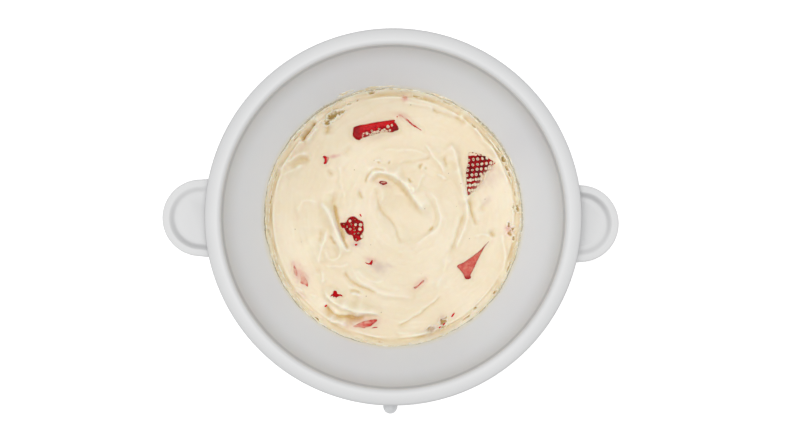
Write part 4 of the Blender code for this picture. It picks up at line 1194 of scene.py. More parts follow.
# %% Tints of the cream: fruit that shows through a thin cover, and painted grey shadow beside a piece
TINTS = (
    # place, reach along and across, turn in degrees, share of pink, share of grey (fruit under a thin cover,
    # and painted shadow)
    ((-8.4, -31.2), 5.5, 3.2, -25.0, 0.10, 0.50), ((-2.0, -30.2), 3.0, 1.4, -20.0, 0.05, 0.30),
    ((-13.4, -27.0), 3.4, 1.6, -20.0, 0.45, 0.20), ((-37.6, 37.4), 4.0, 1.1, 12.0, 0.55, 0.25),
    ((-57.6, -36.2), 6.5, 3.4, -58.0, 0.55, 0.10), ((-61.2, -31.2), 3.4, 1.8, -60.0, 0.40, 0.05),
    ((-56.3, -48.6), 3.6, 1.4, -30.0, 0.20, 0.05), ((4.4, 63.2), 5.0, 1.8, -15.0, 0.35, 0.00),
    ((12.0, 58.2), 6.0, 0.9, -36.0, 0.25, 0.00), ((-22.6, -17.2), 3.2, 1.8, 0.0, 0.15, 0.50),
    ((-16.6, -66.0), 9.5, 3.6, 8.0, 0.35, 0.15), ((-23.6, -67.6), 4.6, 2.4, 5.0, 0.25, 0.15),
    ((17.0, -41.2), 5.0, 2.0, 42.0, 0.40, 0.00), ((60.5, 24.8), 6.5, 4.5, 50.0, 0.12, 0.22),
    ((54.6, 21.6), 3.5, 2.4, 55.0, 0.15, 0.25), ((60.8, 30.6), 3.0, 1.6, 60.0, 0.25, 0.20),
    ((25.6, -69.6), 4.4, 2.2, 35.0, 0.10, 0.45), ((31.2, -62.4), 2.6, 1.8, 50.0, 0.20, 0.35),
    ((71.8, -6.6), 2.2, 2.8, 0.0, 0.55, 0.10), ((58.0, 10.8), 3.6, 2.0, 40.0, 0.10, 0.22),
    ((6.2, 74.2), 2.0, 1.7, 0.0, 0.70, 0.05), ((-6.8, 20.8), 4.4, 1.8, -15.0, 0.35, 0.20),
    ((-57.4, 42.6), 3.6, 1.6, 45.0, 0.15, 0.05), ((-11.6, 49.6), 9.0, 1.6, 14.0, 0.06, 0.22),
)
blush, smoke = np.zeros(grid_x.shape), np.zeros(grid_x.shape)
for (x, y), along, across, turn_deg, pink, grey in TINTS:
    away_x, away_y = grid_x - x, grid_y - y
    turn = math.radians(turn_deg)
    far = np.hypot((away_x * math.cos(turn) + away_y * math.sin(turn)) / along,
                   (away_y * math.cos(turn) - away_x * math.sin(turn)) / across)
    near = np.exp(-(far + 0.25 * patchy(grid_x / 1.8, grid_y / 1.8, 35)) ** 2)
    blush, smoke = np.maximum(blush, pink * near), np.maximum(smoke, grey * near)
print("hollow", round(float(hollow.mean()), 3), "crest", round(float(crest.mean()), 3))

# %% Close the cream down the wall and over the floor
edge_scale = (wall_radius(grid_z * MM) / MM + EDGE_OVERLAP) / grid_reach
pull = np.clip(radius / grid_reach, 0.0, 1.0) ** 12
grid_scale = 1.0 + (edge_scale - 1.0) * pull
top_points = MM * np.column_stack([(grid_x * grid_scale).ravel(), (grid_y * grid_scale).ravel(),
                                   grid_z.ravel()])
rows = GRID + 1
cream_faces = []
for i in range(GRID):
    for j in range(GRID):
        corner = i * rows + j
        cream_faces.append((corner, corner + rows, corner + rows + 1, corner + 1))
border = [i * rows for i in range(GRID)] + [GRID * rows + j for j in range(GRID)]
border += [i * rows + GRID for i in range(GRID, 0, -1)] + list(range(GRID, 0, -1))
border_turn = np.arctan2(top_points[border, 1], top_points[border, 0])
SKIRT_GAP = 0.2 * MM
SKIRT_DROP = 5.0 * MM
skirt = liner_profile(CREAM_LEVEL * MM - SKIRT_DROP, SKIRT_GAP, 6)
cream_points = [tuple(point) for point in top_points]
above = border
for skirt_radius, skirt_height in skirt[:-1]:
    below = range(len(cream_points), len(cream_points) + len(border))
    cream_points += [(skirt_radius * math.cos(turn), skirt_radius * math.sin(turn), skirt_height)
                     for turn in border_turn]
    for index in range(len(border)):
        after = (index + 1) % len(border)
        cream_faces.append((above[index], below[index], below[after], above[after]))
    above = below
cream_points.append((0.0, 0.0, skirt[-1][1]))
for index in range(len(border)):
    cream_faces.append((above[index], len(cream_points) - 1, above[(index + 1) % len(border)]))
cream_mesh = face_outwards(mesh_from("ice_cream_fine", cream_points, cream_faces))
extra = len(cream_points) - rows * rows
for key, share in (("hollow", hollow), ("pit", pit), ("crest", crest), ("blush", blush), ("smoke", smoke)):
    paint(cream_mesh, key, np.concatenate([share.ravel(), np.zeros(extra)]))


def edge_height(bearing):
    """Height of the cream's edge at each bearing in radians, in metres."""
    order = np.argsort(border_turn)
    return np.interp(bearing, border_turn[order], top_points[border, 2][order], period=2.0 * math.pi)


# %% [markdown]
# ## Churned cream as a finish
#
# The cream is pale and warm. Light sinks a little way in and comes out warmer, so deep folds
# turn ochre instead of grey: the shader gets some subsurface light, and the hollows that the
# mesh carries as an attribute get a painted ochre shade. The crests and the edge get a painted
# pale highlight, the edge pits a painted brown shade and a few spots by the fruit a painted
# grey shadow. Tiny dark specks and a fine unevenness of the gloss keep it from looking like
# paint.

# %% Cream finish
CREAM_COLOUR = (0.890, 0.780, 0.590)
CREAM_WARM = (0.850, 0.725, 0.520)
CREAM_HIGHLIGHT = (0.955, 0.895, 0.750)
CREAM_HOLLOW_SHADE = (0.660, 0.450, 0.150)
CREAM_PIT_SHADE = (0.420, 0.275, 0.050)
cream_finish = Finish("churned_cream", {
    "IOR": 1.40, "Subsurface Weight": 0.35, "Subsurface Radius": (1.0, 0.62, 0.30),
    "Subsurface Scale": 1.6 * MM, "Coat Roughness": 0.25,
})
broad = cream_finish.noise(34.0, 3.0)
churn = cream_finish.noise(4.0, 4.0, 0.6)
grain = cream_finish.noise(0.8, 3.0, 0.6)
speck_seeds = cream_finish.cells(7.0)
speck_pick = cream_finish.noise(9.0, 0.0).ease(0.50, 0.56)
specks = (1.0 - speck_seeds.ease(0.03, 0.07)) * speck_pick
tone = cream_finish.blend(broad.ease(0.35, 0.68), CREAM_WARM, CREAM_COLOUR)
# painted highlight on the crests and along the edge
tone = cream_finish.blend(cream_finish.read("crest") * 0.85, tone, CREAM_HIGHLIGHT)
# painted shade: ochre in the hollows
tone = cream_finish.blend((cream_finish.read("hollow") ** 1.4) * (0.55 + 0.5 * churn), tone, CREAM_HOLLOW_SHADE)
# painted shade: brown in the pits along the edge
tone = cream_finish.blend((cream_finish.read("pit") ** 1.5) * (0.35 + 0.7 * churn), tone, CREAM_PIT_SHADE)
# grey tint: fruit under a thin cover, and painted shadow beside the chunk
tone = cream_finish.blend(cream_finish.read("smoke"), tone, (0.50, 0.42, 0.38))
tone = cream_finish.blend(cream_finish.read("blush"), tone, (0.74, 0.28, 0.24))
tone = cream_finish.blend(specks * 0.6, tone, (0.30, 0.20, 0.10))
cream_finish.set("Base Color", tone)
cream_finish.set("Roughness", 0.40 + 0.14 * churn + 0.06 * grain)
cream_finish.set("Coat Weight", 0.10 + 0.10 * churn)
cream_finish.bump(churn * 0.75 + grain * 0.25, 0.14, 0.5)
add_piece("churned_ice_cream", cream_mesh, cream_finish, ["ice_cream"])

# %% [markdown]
# ## Strawberry skin and flesh
#
# Skin is deep glossy red with dimples; flesh is lighter, orange to pink, wet and streaked;
# cream clings in patches. One finish covers all of it, steered by three attributes on the
# meshes: how much flesh, how much cream, and how dark a spot is.

# %% Fruit finish
SKIN_DEEP = (0.280, 0.001, 0.006)
SKIN_BRIGHT = (0.660, 0.001, 0.007)
FLESH_RED = (0.560, 0.055, 0.045)
FLESH_PINK = (0.680, 0.210, 0.140)
FRUIT_SHADE = (0.085, 0.003, 0.004)
fruit_finish = Finish("strawberry_fruit", {"IOR": 1.40, "Specular IOR Level": 0.10, "Subsurface Weight": 0.08,
                                           "Subsurface Radius": (1.0, 0.2, 0.1), "Subsurface Scale": 0.8 * MM,
                                           "Coat Roughness": 0.12})
mottle = fruit_finish.noise(3.2, 3.0, 0.6)
fibres = fruit_finish.noise(1.1, 3.0, 0.65)
fruit_grain = fruit_finish.noise(0.5, 2.0)
skin = fruit_finish.blend(mottle.ease(0.22, 0.52), SKIN_DEEP, SKIN_BRIGHT)
flesh = fruit_finish.blend((0.6 * mottle + 0.4 * fibres).ease(0.40, 0.66), FLESH_RED, FLESH_PINK)
fruit_tone = fruit_finish.blend(fruit_finish.read("flesh"), skin, flesh)
fruit_tone = fruit_finish.blend(fruit_finish.read("shade"), fruit_tone, FRUIT_SHADE)
clinging = (fruit_finish.read("cream") + 0.5 * (fibres - 0.5)).ease(0.35, 0.62)
fruit_tone = fruit_finish.blend(clinging, fruit_tone, (0.820, 0.660, 0.480))
fruit_tone = fruit_finish.blend(fruit_finish.read("veil"), fruit_tone, (0.840, 0.640, 0.480))
fruit_finish.set("Base Color", fruit_tone)
fruit_finish.set("Roughness", 0.24 + 0.16 * mottle + 0.22 * clinging)
fruit_finish.set("Coat Weight", 0.05 - 0.04 * clinging)
fruit_finish.bump(fibres * 0.6 + fruit_grain * 0.4, 0.12, 0.5)

# %% Dimples of the skin, in millimetres: (place), radius, how full of cream
DIMPLES = {
    "strawberry_wedge": [((49.4 - 0.30 * row + pitch * column - (0.5 if row > 3 else 0.0),
                           36.6 - 3.2 * row + 0.12 * pitch * column),
                          (1.30, 0.85, 1.15, 0.95)[column % 4] if row > 3 else 1.1,
                          0.95 if row > 3 or column > 1 else 0.62)
                         for row in range(7) for pitch in (1.65 if row > 3 else 2.8,)
                         for column in range(-1, 6)],
    "strawberry_chunk": [((-26.7, -2.7), 0.95, 1.0), ((-23.2, -4.9), 1.0, 1.0), ((-20.3, -5.0), 1.15, 1.0),
                         ((-20.5, -7.6), 1.15, 1.0), ((-26.6, -7.7), 0.95, 0.6), ((-24.1, -6.9), 0.6, 0.3),
                         ((-19.5, -12.4), 1.2, 1.0), ((-25.9, -4.7), 0.8, 0.2), ((-23.7, -8.6), 0.8, 0.3),
                         ((-22.9, -14.0), 0.8, 0.2), ((-23.9, -10.6), 0.8, 0.2), ((-28.6, -6.2), 0.8, 0.2),
                         ((-23.6, -1.9), 0.8, 0.1), ((-30.6, -5.0), 0.8, 0.1), ((-21.5, -10.2), 0.8, 0.2)],
    "strawberry_bar": [((-4.0, 56.3), 1.1, 1.0), ((-1.6, 57.3), 0.9, 1.0), ((-6.2, 54.6), 0.9, 1.0),
                       ((-9.5, 54.7), 0.9, 0.8), ((-2.9, 53.9), 0.8, 1.0), ((-10.6, 53.0), 1.0, 0.9),
                       ((-14.2, 53.4), 0.8, 0.6), ((-13.8, 51.8), 1.0, 0.8), ((-16.9, 51.6), 1.0, 0.9),
                       ((-7.4, 53.6), 0.9, 1.0)],
}
for fruit_name in FRUIT:
    loop = FRUIT[fruit_name]["loop"]
    found = []
    for spot, size, fill in DIMPLES.get(fruit_name, []):
        if inside_outline(np.array([spot[0]]), np.array([spot[1]]), loop)[0]:
            found.append((spot, size, fill))
    FRUIT[fruit_name]["dimples"] = found
print("dimples", {name: len(fruit["dimples"]) for name, fruit in FRUIT.items() if fruit["dimples"]})


# %% The fruit's top surface
def fill_outline(loop, spacing):
    """Triangles that fill a closed outline: its own points and a hexagonal scatter inside."""
    low, high = loop.min(axis=0), loop.max(axis=0)
    steps_y = np.arange(low[1], high[1], spacing * math.sqrt(3.0) / 2.0)
    inner = []
    for number, y in enumerate(steps_y):
        for x in np.arange(low[0] + (number % 2) * spacing / 2.0, high[0], spacing):
            inner.append((x, y))
    inner = np.array(inner)
    distance = np.abs(across_curve(inner[:, 0], inner[:, 1], np.vstack([loop, loop[:1]]))[0])
    keep = inside_outline(inner[:, 0], inner[:, 1], loop) & (distance > 0.45 * spacing)
    points = [Vector(point) for point in np.vstack([loop, inner[keep]])]
    edge = [(index, (index + 1) % len(loop)) for index in range(len(loop))]
    result = delaunay_2d_cdt(points, edge, [], 1, 1e-5)
    return np.array([tuple(point) for point in result[0]]), result[2]


def even_loop(loop, spacing):
    """The outline again, with points at an even spacing."""
    closed_loop = np.vstack([loop, loop[:1]])
    lengths = np.concatenate([[0.0], np.cumsum(np.hypot(*np.diff(closed_loop, axis=0).T))])
    count = max(int(lengths[-1] / spacing), 12)
    stops = np.linspace(0.0, lengths[-1], count, endpoint=False)
    return np.column_stack([np.interp(stops, lengths, closed_loop[:, axis]) for axis in (0, 1)])


def fruit_surface(fruit, x, y):
    """Height of the top and the three attributes at each point."""
    inward = np.abs(across_curve(x, y, np.vstack([fruit["loop"], fruit["loop"][:1]]))[0])
    curl = 1.0 - np.clip(inward / fruit["round"], 0.0, 1.0)
    dome = np.sqrt(np.maximum(1.0 - curl ** 2, 0.0))
    height = plane_height(fruit, x, y) - 0.5 + (fruit["proud"] + 0.5) * dome
    height += 0.12 * patchy(x / 1.8, y / 1.8, 51) * smooth_step(inward)
    shade = 0.30 * np.exp(-(inward / 0.55) ** 2)
    for (pit_x, pit_y), size, fill in fruit["dimples"]:
        away = np.hypot(x - pit_x, y - pit_y) / size
        height -= 0.9 * size * 0.6 * np.exp(-away ** 4) * smooth_step(inward / 0.6)
        height += 0.18 * np.exp(-((away - 1.5) / 0.4) ** 2) * smooth_step(inward / 0.8)
        shade = np.maximum(shade, 0.6 * np.exp(-away ** 4))
    return height, shade


# %% What each piece shows: flesh, cream and shade
def paint_fruit(name, fruit, x, y, shade):
    """Flesh, cream and veil shares at each point of one piece."""
    away_x, away_y = x - fruit["middle"][0], y - fruit["middle"][1]
    flesh_share = np.zeros(x.shape)
    cream_share = np.zeros(x.shape)
    veil = np.zeros(x.shape)
    uneven = patchy(x / 1.6, y / 1.6, 61)
    streaky = patchy((x - 0.2 * y) / 1.1, (y + 0.2 * x) / 0.55, 62)
    if name == "strawberry_bar":
        strip = away_y - 0.20 * away_x - 0.4 + 0.5 * uneven
        flesh_share = 0.05 * smooth_step(strip / 1.2) * smooth_step((away_x + 11.0) / 4.0)
        under = smooth_step((-strip - 0.8) / 1.4)
        under = under * smooth_step((9.5 - away_x) / 3.0) * smooth_step((away_x + 10.0) / 3.0)
        cream_share = under * (0.50 + 0.75 * streaky)
        veil = 0.22 * under * np.clip(0.6 + streaky, 0.0, 1.0)
        streak_share = np.clip(0.8 - 0.5 * streaky, 0.0, 1.0)
        shade = np.maximum(shade, 0.50 * smooth_step((-strip - 0.2) / 0.8) * streak_share)
        shade = np.maximum(shade, 0.50 * smooth_step((-8.0 - away_x) / 3.0))
        shade = np.maximum(shade, 0.08 + 0.34 * streaky)
        shade = np.maximum(shade, 0.7 * smooth_step((away_x - 9.0) / 2.0) * smooth_step((3.5 - away_y) / 2.0))
    elif name == "strawberry_wedge":
        corner = (away_x * 0.75 - away_y * 0.5 + 0.1) / 4.0
        cream_share = smooth_step(corner + 0.35 * uneven)
        veil = 0.40 * smooth_step((away_x * 0.7 - away_y * 0.5 + 1.0) / 6.0)
        between_rows = 0.5 - 0.5 * np.cos((y - 36.6 + 0.12 * (49.4 - x)) * 2.0 * math.pi / 3.2)
        shade = np.maximum(shade, 0.52 + 0.22 * between_rows + 0.35 * uneven)
        cream_share = np.maximum(cream_share, 0.75 * smooth_step((away_y - 10.4) / 1.6) * (1.0 + streaky))
    elif name == "strawberry_chunk":
        shade = np.maximum(shade, 0.45 + 0.35 * uneven)
    elif name == "strawberry_slice":
        flesh_share = np.clip(0.85 + 0.25 * uneven, 0.0, 1.0)
        lower_end = smooth_step((-away_y - 8.5) / 3.5)
        flesh_share = flesh_share * (1.0 - 0.9 * lower_end)
        shade = np.maximum(0.8 * shade, 0.5 * lower_end)
        shade = np.maximum(shade, 0.35 * smooth_step((away_y - 4.0) / 4.0))
        veil = 0.05 * (1.0 - lower_end)
    elif name == "strawberry_sliver":
        flesh_share = np.full(x.shape, 0.45)
        veil = np.clip(0.75 * smooth_step((1.0 - away_x) / 5.0) + 0.25 * uneven, 0.0, 0.85)
        shade = 0.5 * shade
    elif name == "strawberry_stick":
        flesh_share = np.full(x.shape, 0.8)
        veil = np.clip(0.20 + 0.3 * uneven, 0.0, 0.8)
        shade = 0.5 * smooth_step((np.abs(away_x) - 1.8) / 1.2)
    elif name == "strawberry_fin":
        flesh_share = np.full(x.shape, 0.6)
        veil = np.clip(0.24 - 0.05 * away_x + 0.35 * uneven, 0.0, 0.85)
        shade = 0.4 * shade
    elif name == "strawberry_strip":
        flesh_share = np.full(x.shape, 0.9)
        veil = np.clip(0.36 + 0.3 * uneven, 0.0, 0.9)
        shade = 0.3 * shade
    elif name == "strawberry_flap":
        flesh_share = 1.0 - 0.8 * smooth_step((-away_y - 0.4) / 2.0)
        veil = np.clip(0.34 + 0.10 * away_y + 0.3 * uneven, 0.05, 0.80)
        shade = 0.3 * shade
    elif name == "strawberry_nub":
        veil = 0.45 * smooth_step(away_y + 0.5) * smooth_step((1.5 - away_x) / 2.0)
    elif name == "strawberry_corner":
        flesh_share = 0.5 * smooth_step((away_x + away_y * 0.3) / 1.0)
        veil = 0.5 * smooth_step((away_x - 0.4) / 1.2)
        shade = np.maximum(shade, 0.4 * smooth_step((-away_x) / 1.0))
    elif name == "strawberry_tucked":
        veil = 0.5 * smooth_step((0.7 - np.abs(away_y - 0.4)) / 0.6)
        veil = veil * smooth_step((1.9 - np.abs(away_x)) / 1.0)
        shade = np.maximum(shade, 0.5)
    elif name == "strawberry_scrap":
        shade = np.maximum(shade, 0.3)
    return flesh_share, cream_share, veil, shade


def build_fruit(name, fruit, spacing):
    """One closed strawberry piece: the fine top, its sides and a plain buried underside."""
    loop = even_loop(fruit["loop"], spacing)
    flat, triangles = fill_outline(loop, spacing)
    x, y = flat[:, 0], flat[:, 1]
    height, shade = fruit_surface(fruit, x, y)
    flesh_share, cream_share, veil, shade = paint_fruit(name, fruit, x, y, shade)
    points = list(np.column_stack([x, y, height]))
    faces = [tuple(triangle) for triangle in triangles]
    edge = range(len(loop))
    centre = loop.mean(axis=0)
    above = edge
    bury = fruit["bury"]
    for share, drop in ((1.0, 1.2), (0.97, 0.6 * bury), (0.88, 0.9 * bury), (0.8, bury)):
        below = range(len(points), len(points) + len(loop))
        for index in edge:
            spot = centre + (loop[index] - centre) * share
            points.append((spot[0], spot[1], plane_height(fruit, *spot) - drop))
        for index in edge:
            after = (index + 1) % len(loop)
            faces.append((above[index], below[index], below[after], above[after]))
        above = below
    faces.append(tuple(reversed(above)))
    mesh = face_outwards(mesh_from(name + "_fine", np.array(points) * MM, faces))
    extra = len(points) - len(flat)
    looks = (("flesh", flesh_share, 0.0), ("cream", cream_share, 0.0), ("veil", veil, 0.0),
             ("shade", shade, 0.6))
    for key, on_top, below_top in looks:
        paint(mesh, key, np.concatenate([on_top, np.full(extra, below_top)]))
    add_piece("fruit_" + name.removeprefix("strawberry_"), mesh, fruit_finish, [name])


for fruit_name, fruit in FRUIT.items():
    build_fruit(fruit_name, fruit, 0.28 if fruit["dimples"] else 0.30)

# %% [markdown]
# ## Cream in the dimples
#
# Where the skin was pressed into the cream, each dimple kept a round drop of it, some with
# the seed still showing in the middle. The drops and the seeds repeat, so a Geometry Nodes
# tree sets one small shape on every dimple, turned and sized by attributes of its point.

# %% The tree that sets a shape on points
OBJECT_GEOMETRY = 4      # which output of Object Info holds the mesh
setting = GeometryBook("shapes_on_points")
shape_object = setting.new_input("Shape", "NodeSocketObject")
shape_size = setting.new_input("Size", "NodeSocketFloat", 1.0)
size_spread = setting.new_input("Spread", "NodeSocketFloat", 0.1)
setting_seed = setting.new_input("Seed", "NodeSocketInt", 7)
shape_finish = setting.new_input("Finish", "NodeSocketMaterial")
shape_mesh = setting.add("GeometryNodeObjectInfo", {}, {"Object": shape_object}, OBJECT_GEOMETRY)
turn = setting.add("GeometryNodeInputNamedAttribute", {"data_type": "FLOAT_VECTOR"}, {"Name": "turn"})
stretch = setting.add("GeometryNodeInputNamedAttribute", {"data_type": "FLOAT_VECTOR"}, {"Name": "stretch"})
turned = setting.add("FunctionNodeEulerToRotation", {}, {"Euler": turn})
jitter = setting.add("FunctionNodeRandomValue", {"data_type": "FLOAT"},
                     {"Min": 1.0 - size_spread, "Max": 1.0 + size_spread, "Seed": setting_seed})
scaled = setting.add("ShaderNodeVectorMath", {"operation": "SCALE"},
                     {"Vector": stretch, "Scale": shape_size * jitter})
instances = setting.add("GeometryNodeInstanceOnPoints", {},
                        {"Points": setting.geometry, "Instance": shape_mesh,
                         "Rotation": turned, "Scale": scaled})
setting.finish_with(instances, shape_finish)


def small_blob(name, subdivisions, squash, seed, rough):
    """A rounded lump about a millimetre across, a little uneven."""
    maker = bmesh.new()
    bmesh.ops.create_icosphere(maker, subdivisions=subdivisions, radius=0.5 * MM)
    dice = np.random.default_rng(seed)
    for point in maker.verts:
        point.co *= 1.0 + rough * dice.uniform(-1.0, 1.0)
        point.co.z *= squash
    mesh = bpy.data.meshes.new(name)
    maker.to_mesh(mesh)
    maker.free()
    mesh.shade_smooth()
    blob = loose_object(name, mesh)
    blob.hide_render = True
    return blob


def set_on_points(name, spots, shape, finish, spread=0.1):
    """Set `shape` on each spot: (place, turn, stretch), places in metres."""
    points = bpy.data.meshes.new(name + "_points")
    points.from_pydata([tuple(place) for place, _, _ in spots], [], [])
    for key, index in (("turn", 1), ("stretch", 2)):
        attribute = points.attributes.new(key, "FLOAT_VECTOR", "POINT")
        vectors = np.array([spot[index] for spot in spots], dtype=np.float32)
        attribute.data.foreach_set("vector", vectors.ravel())
    values = {"Shape": shape, "Finish": finish.material, "Spread": spread, "Seed": 7, "Size": 1.0}
    mesh = setting.run(loose_object(name + "_points", points), name, values)
    bpy.data.objects.remove(shape)
    mesh.shade_smooth()
    add_piece(name, mesh, finish)


# %% Drops and seeds
dimple_dice = np.random.default_rng(71)
drops, seeds = [], []
for fruit in FRUIT.values():
    for (x, y), size, fill in fruit["dimples"]:
        x, y = x + dimple_dice.uniform(-0.15, 0.15), y + dimple_dice.uniform(-0.15, 0.15)
        level = fruit_surface(fruit, np.array([x]), np.array([y]))[0][0]
        lean = (math.atan(-fruit["plane"][1]), math.atan(fruit["plane"][0]), dimple_dice.uniform(0.0, 3.1))
        if fill > 0.15:
            wide = 2.0 * size * (0.74 + 0.26 * fill)
            drops.append(((x * MM, y * MM, (level + 0.18 + 0.25 * fill) * MM), lean,
                          (wide, wide * dimple_dice.uniform(0.8, 1.05), 0.9 + 0.6 * fill)))
        if fill < 0.9:
            seeds.append(((x * MM, y * MM, (level + 0.42 + 0.42 * fill) * MM), lean, (0.75, 1.15, 0.6)))
DROP_WARM, DROP_PALE = (0.70, 0.55, 0.40), (0.86, 0.76, 0.58)
drop_finish = Finish("cream_in_dimples", {
    "IOR": 1.40, "Subsurface Weight": 0.25, "Subsurface Scale": 0.8 * MM,
    "Subsurface Radius": (1.0, 0.62, 0.30),
})
drop_mottle = drop_finish.noise(1.1, 2.0)
drop_finish.set("Base Color", drop_finish.blend(drop_mottle.ease(0.3, 0.7), DROP_WARM, DROP_PALE))
drop_finish.set("Roughness", 0.34 + 0.2 * drop_mottle)
drop_finish.bump(drop_finish.noise(0.4), 0.06, 0.5)
drop_shape = small_blob("drop_shape", 2, 0.7, 72, 0.06)
set_on_points("dimple_drops", drops, drop_shape, drop_finish)

seed_finish = Finish("strawberry_seed", {"IOR": 1.45})
seed_mottle = seed_finish.noise(0.5, 2.0)
seed_finish.set("Base Color", seed_finish.blend(seed_mottle, (0.20, 0.06, 0.02), (0.55, 0.33, 0.10)))
seed_finish.set("Roughness", 0.35 + 0.2 * seed_mottle)
seed_finish.bump(seed_mottle, 0.03, 0.5)
seed_shape = small_blob("seed_shape", 1, 0.6, 73, 0.05)
set_on_points("strawberry_seeds", seeds, seed_shape, seed_finish)

# %% Loose red flecks
FLECKS = (
    # place in millimetres, turn in degrees, length, width
    ((38.3, -60.4), 55.0, 3.6, 1.0), ((32.8, -66.1), 50.0, 2.6, 1.1), ((30.2, -68.2), 40.0, 2.0, 0.9),
    ((-41.2, -55.6), 60.0, 2.6, 1.7), ((-46.6, -65.0), -35.0, 2.6, 0.5), ((-22.8, -17.5), 10.0, 1.9, 1.1),
    ((-20.3, 0.9), -60.0, 2.2, 0.8), ((-11.0, -68.9), 6.0, 5.2, 0.8),
    ((62.4, 34.7), -40.0, 1.6, 1.2), ((1.6, 62.6), 20.0, 1.2, 0.9), ((-13.2, -29.8), -30.0, 1.7, 1.0),
)


def surface_at(x, y):
    """Height of the finished cream at a place, in millimetres."""
    nearest = np.argmin((grid_x - x) ** 2 + (grid_y - y) ** 2)
    return plain_z.ravel()[nearest]


fleck_spots = [((x * MM, y * MM, (surface_at(x, y) + 0.12) * MM), (0.0, 0.0, math.radians(turn_deg)),
                (long, wide, 0.9))
               for (x, y), turn_deg, long, wide in FLECKS]
fleck_shape = small_blob("fleck_shape", 2, 0.7, 74, 0.16)
set_on_points("red_flecks", fleck_spots, fleck_shape, fruit_finish, 0.0)

# %% [markdown]
# ## Icy flakes along the wall
#
# Where the cream touches the frozen wall it sets hard and breaks into thin flakes that lie
# along the wall. They follow a path and no two are alike, so a Geometry Nodes tree walks
# the contact line, keeps more of them where the line says it is ragged, and turns and
# stretches each one at random from a fixed seed.

# %% The tree that lays flakes along a line
flaking = GeometryBook("flakes_along_line")
flake_shape = flaking.new_input("Flake", "NodeSocketObject")
flake_count = flaking.new_input("Count", "NodeSocketInt", 300)
flake_seed = flaking.new_input("Seed", "NodeSocketInt", 3)
flake_finish_input = flaking.new_input("Finish", "NodeSocketMaterial")
flake_line = flaking.add("GeometryNodeMeshToCurve", {}, {"Mesh": flaking.geometry})
to_points = flaking.tree.nodes.new("GeometryNodeCurveToPoints")
to_points.mode = "COUNT"
flaking.feed(to_points.inputs["Curve"], flake_line)
flaking.feed(to_points.inputs["Count"], flake_count)
line_points = Wire(flaking, to_points.outputs["Points"])
line_turn = Wire(flaking, to_points.outputs["Rotation"])


def at_random(low, high, kind, step):
    values = {"Min": low, "Max": high, "Seed": flake_seed + step}
    return flaking.add("FunctionNodeRandomValue", {"data_type": kind}, values)


drift = at_random((-1.3 * MM, -1.3 * MM, -0.6 * MM), (1.3 * MM, 1.3 * MM, 1.6 * MM), "FLOAT_VECTOR", 1)
drifted = flaking.add("GeometryNodeSetPosition", {}, {"Geometry": line_points, "Offset": drift})
tilt = flaking.add("FunctionNodeEulerToRotation", {},
                   {"Euler": at_random((-0.7, -0.5, -0.6), (0.7, 0.5, 0.6), "FLOAT_VECTOR", 2)})
tilted = flaking.add("FunctionNodeRotateRotation", {"rotation_space": "LOCAL"},
                     {"Rotation": line_turn, "Rotate By": tilt})
flake_size = at_random((0.4, 0.3, 1.0), (0.9, 0.7, 4.5), "FLOAT_VECTOR", 3)
ragged = flaking.add("GeometryNodeInputNamedAttribute", {"data_type": "FLOAT"}, {"Name": "ragged"})
kept = flaking.add("FunctionNodeCompare", {"data_type": "FLOAT", "operation": "LESS_THAN"},
                   {"A": at_random(0.0, 1.0, "FLOAT", 4), "B": ragged})
flake_mesh = flaking.add("GeometryNodeObjectInfo", {}, {"Object": flake_shape}, OBJECT_GEOMETRY)
flakes = flaking.add("GeometryNodeInstanceOnPoints", {},
                     {"Points": drifted, "Selection": kept, "Instance": flake_mesh,
                      "Rotation": tilted, "Scale": flake_size})
flaking.finish_with(flakes, flake_finish_input)

# %% Lay the flakes
LINE_STEPS = 720
FLAKE_COUNT, FLAKE_SEED = 300, 3
RAGGED = (
    # bearing, half width, share of flakes
    (92.0, 34.0, 0.65), (10.0, 30.0, 0.95), (128.0, 16.0, 0.35), (182.0, 24.0, 0.40),
    (-62.0, 12.0, 0.30), (48.0, 14.0, 0.35), (-35.0, 18.0, 0.20),
)
line_bearing = np.linspace(-180.0, 180.0, LINE_STEPS, endpoint=False)
ragged_share = np.full(LINE_STEPS, 0.05)
for bearing, half_width, share in RAGGED:
    off = (line_bearing - bearing + 180.0) % 360.0 - 180.0
    ragged_share += share * np.exp(-(off / half_width) ** 2)
border_height = edge_height(np.radians(line_bearing))
line_radius = wall_radius(border_height) - 0.5 * MM
line_mesh = bpy.data.meshes.new("contact_line")
line_mesh.from_pydata(list(zip(line_radius * np.cos(np.radians(line_bearing)),
                               line_radius * np.sin(np.radians(line_bearing)), border_height + 0.3 * MM)),
                      [(index, (index + 1) % LINE_STEPS) for index in range(LINE_STEPS)], [])
paint(line_mesh, "ragged", ragged_share)
FLAKE_WARM, FLAKE_PALE = (0.83, 0.70, 0.46), (0.93, 0.88, 0.76)
flake_finish = Finish("icy_cream_flake", {
    "IOR": 1.36, "Subsurface Weight": 0.3, "Subsurface Scale": 0.8 * MM,
    "Subsurface Radius": (1.0, 0.7, 0.4),
})
flake_mottle = flake_finish.noise(2.6, 2.0)
flake_finish.set("Base Color", flake_finish.blend(flake_mottle.ease(0.35, 0.65), FLAKE_WARM, FLAKE_PALE))
flake_finish.set("Roughness", 0.28 + 0.25 * flake_mottle)
flake_finish.bump(flake_finish.noise(0.6), 0.08, 0.5)
flake_blob = small_blob("flake_shape", 2, 0.5, 75, 0.18)
flake_values = {"Flake": flake_blob, "Count": FLAKE_COUNT, "Seed": FLAKE_SEED,
                "Finish": flake_finish.material}
flake_result = flaking.run(loose_object("contact_line", line_mesh), "edge_flakes", flake_values)
bpy.data.objects.remove(flake_blob)
flake_result.shade_smooth()
add_piece("edge_flakes", flake_result, flake_finish)

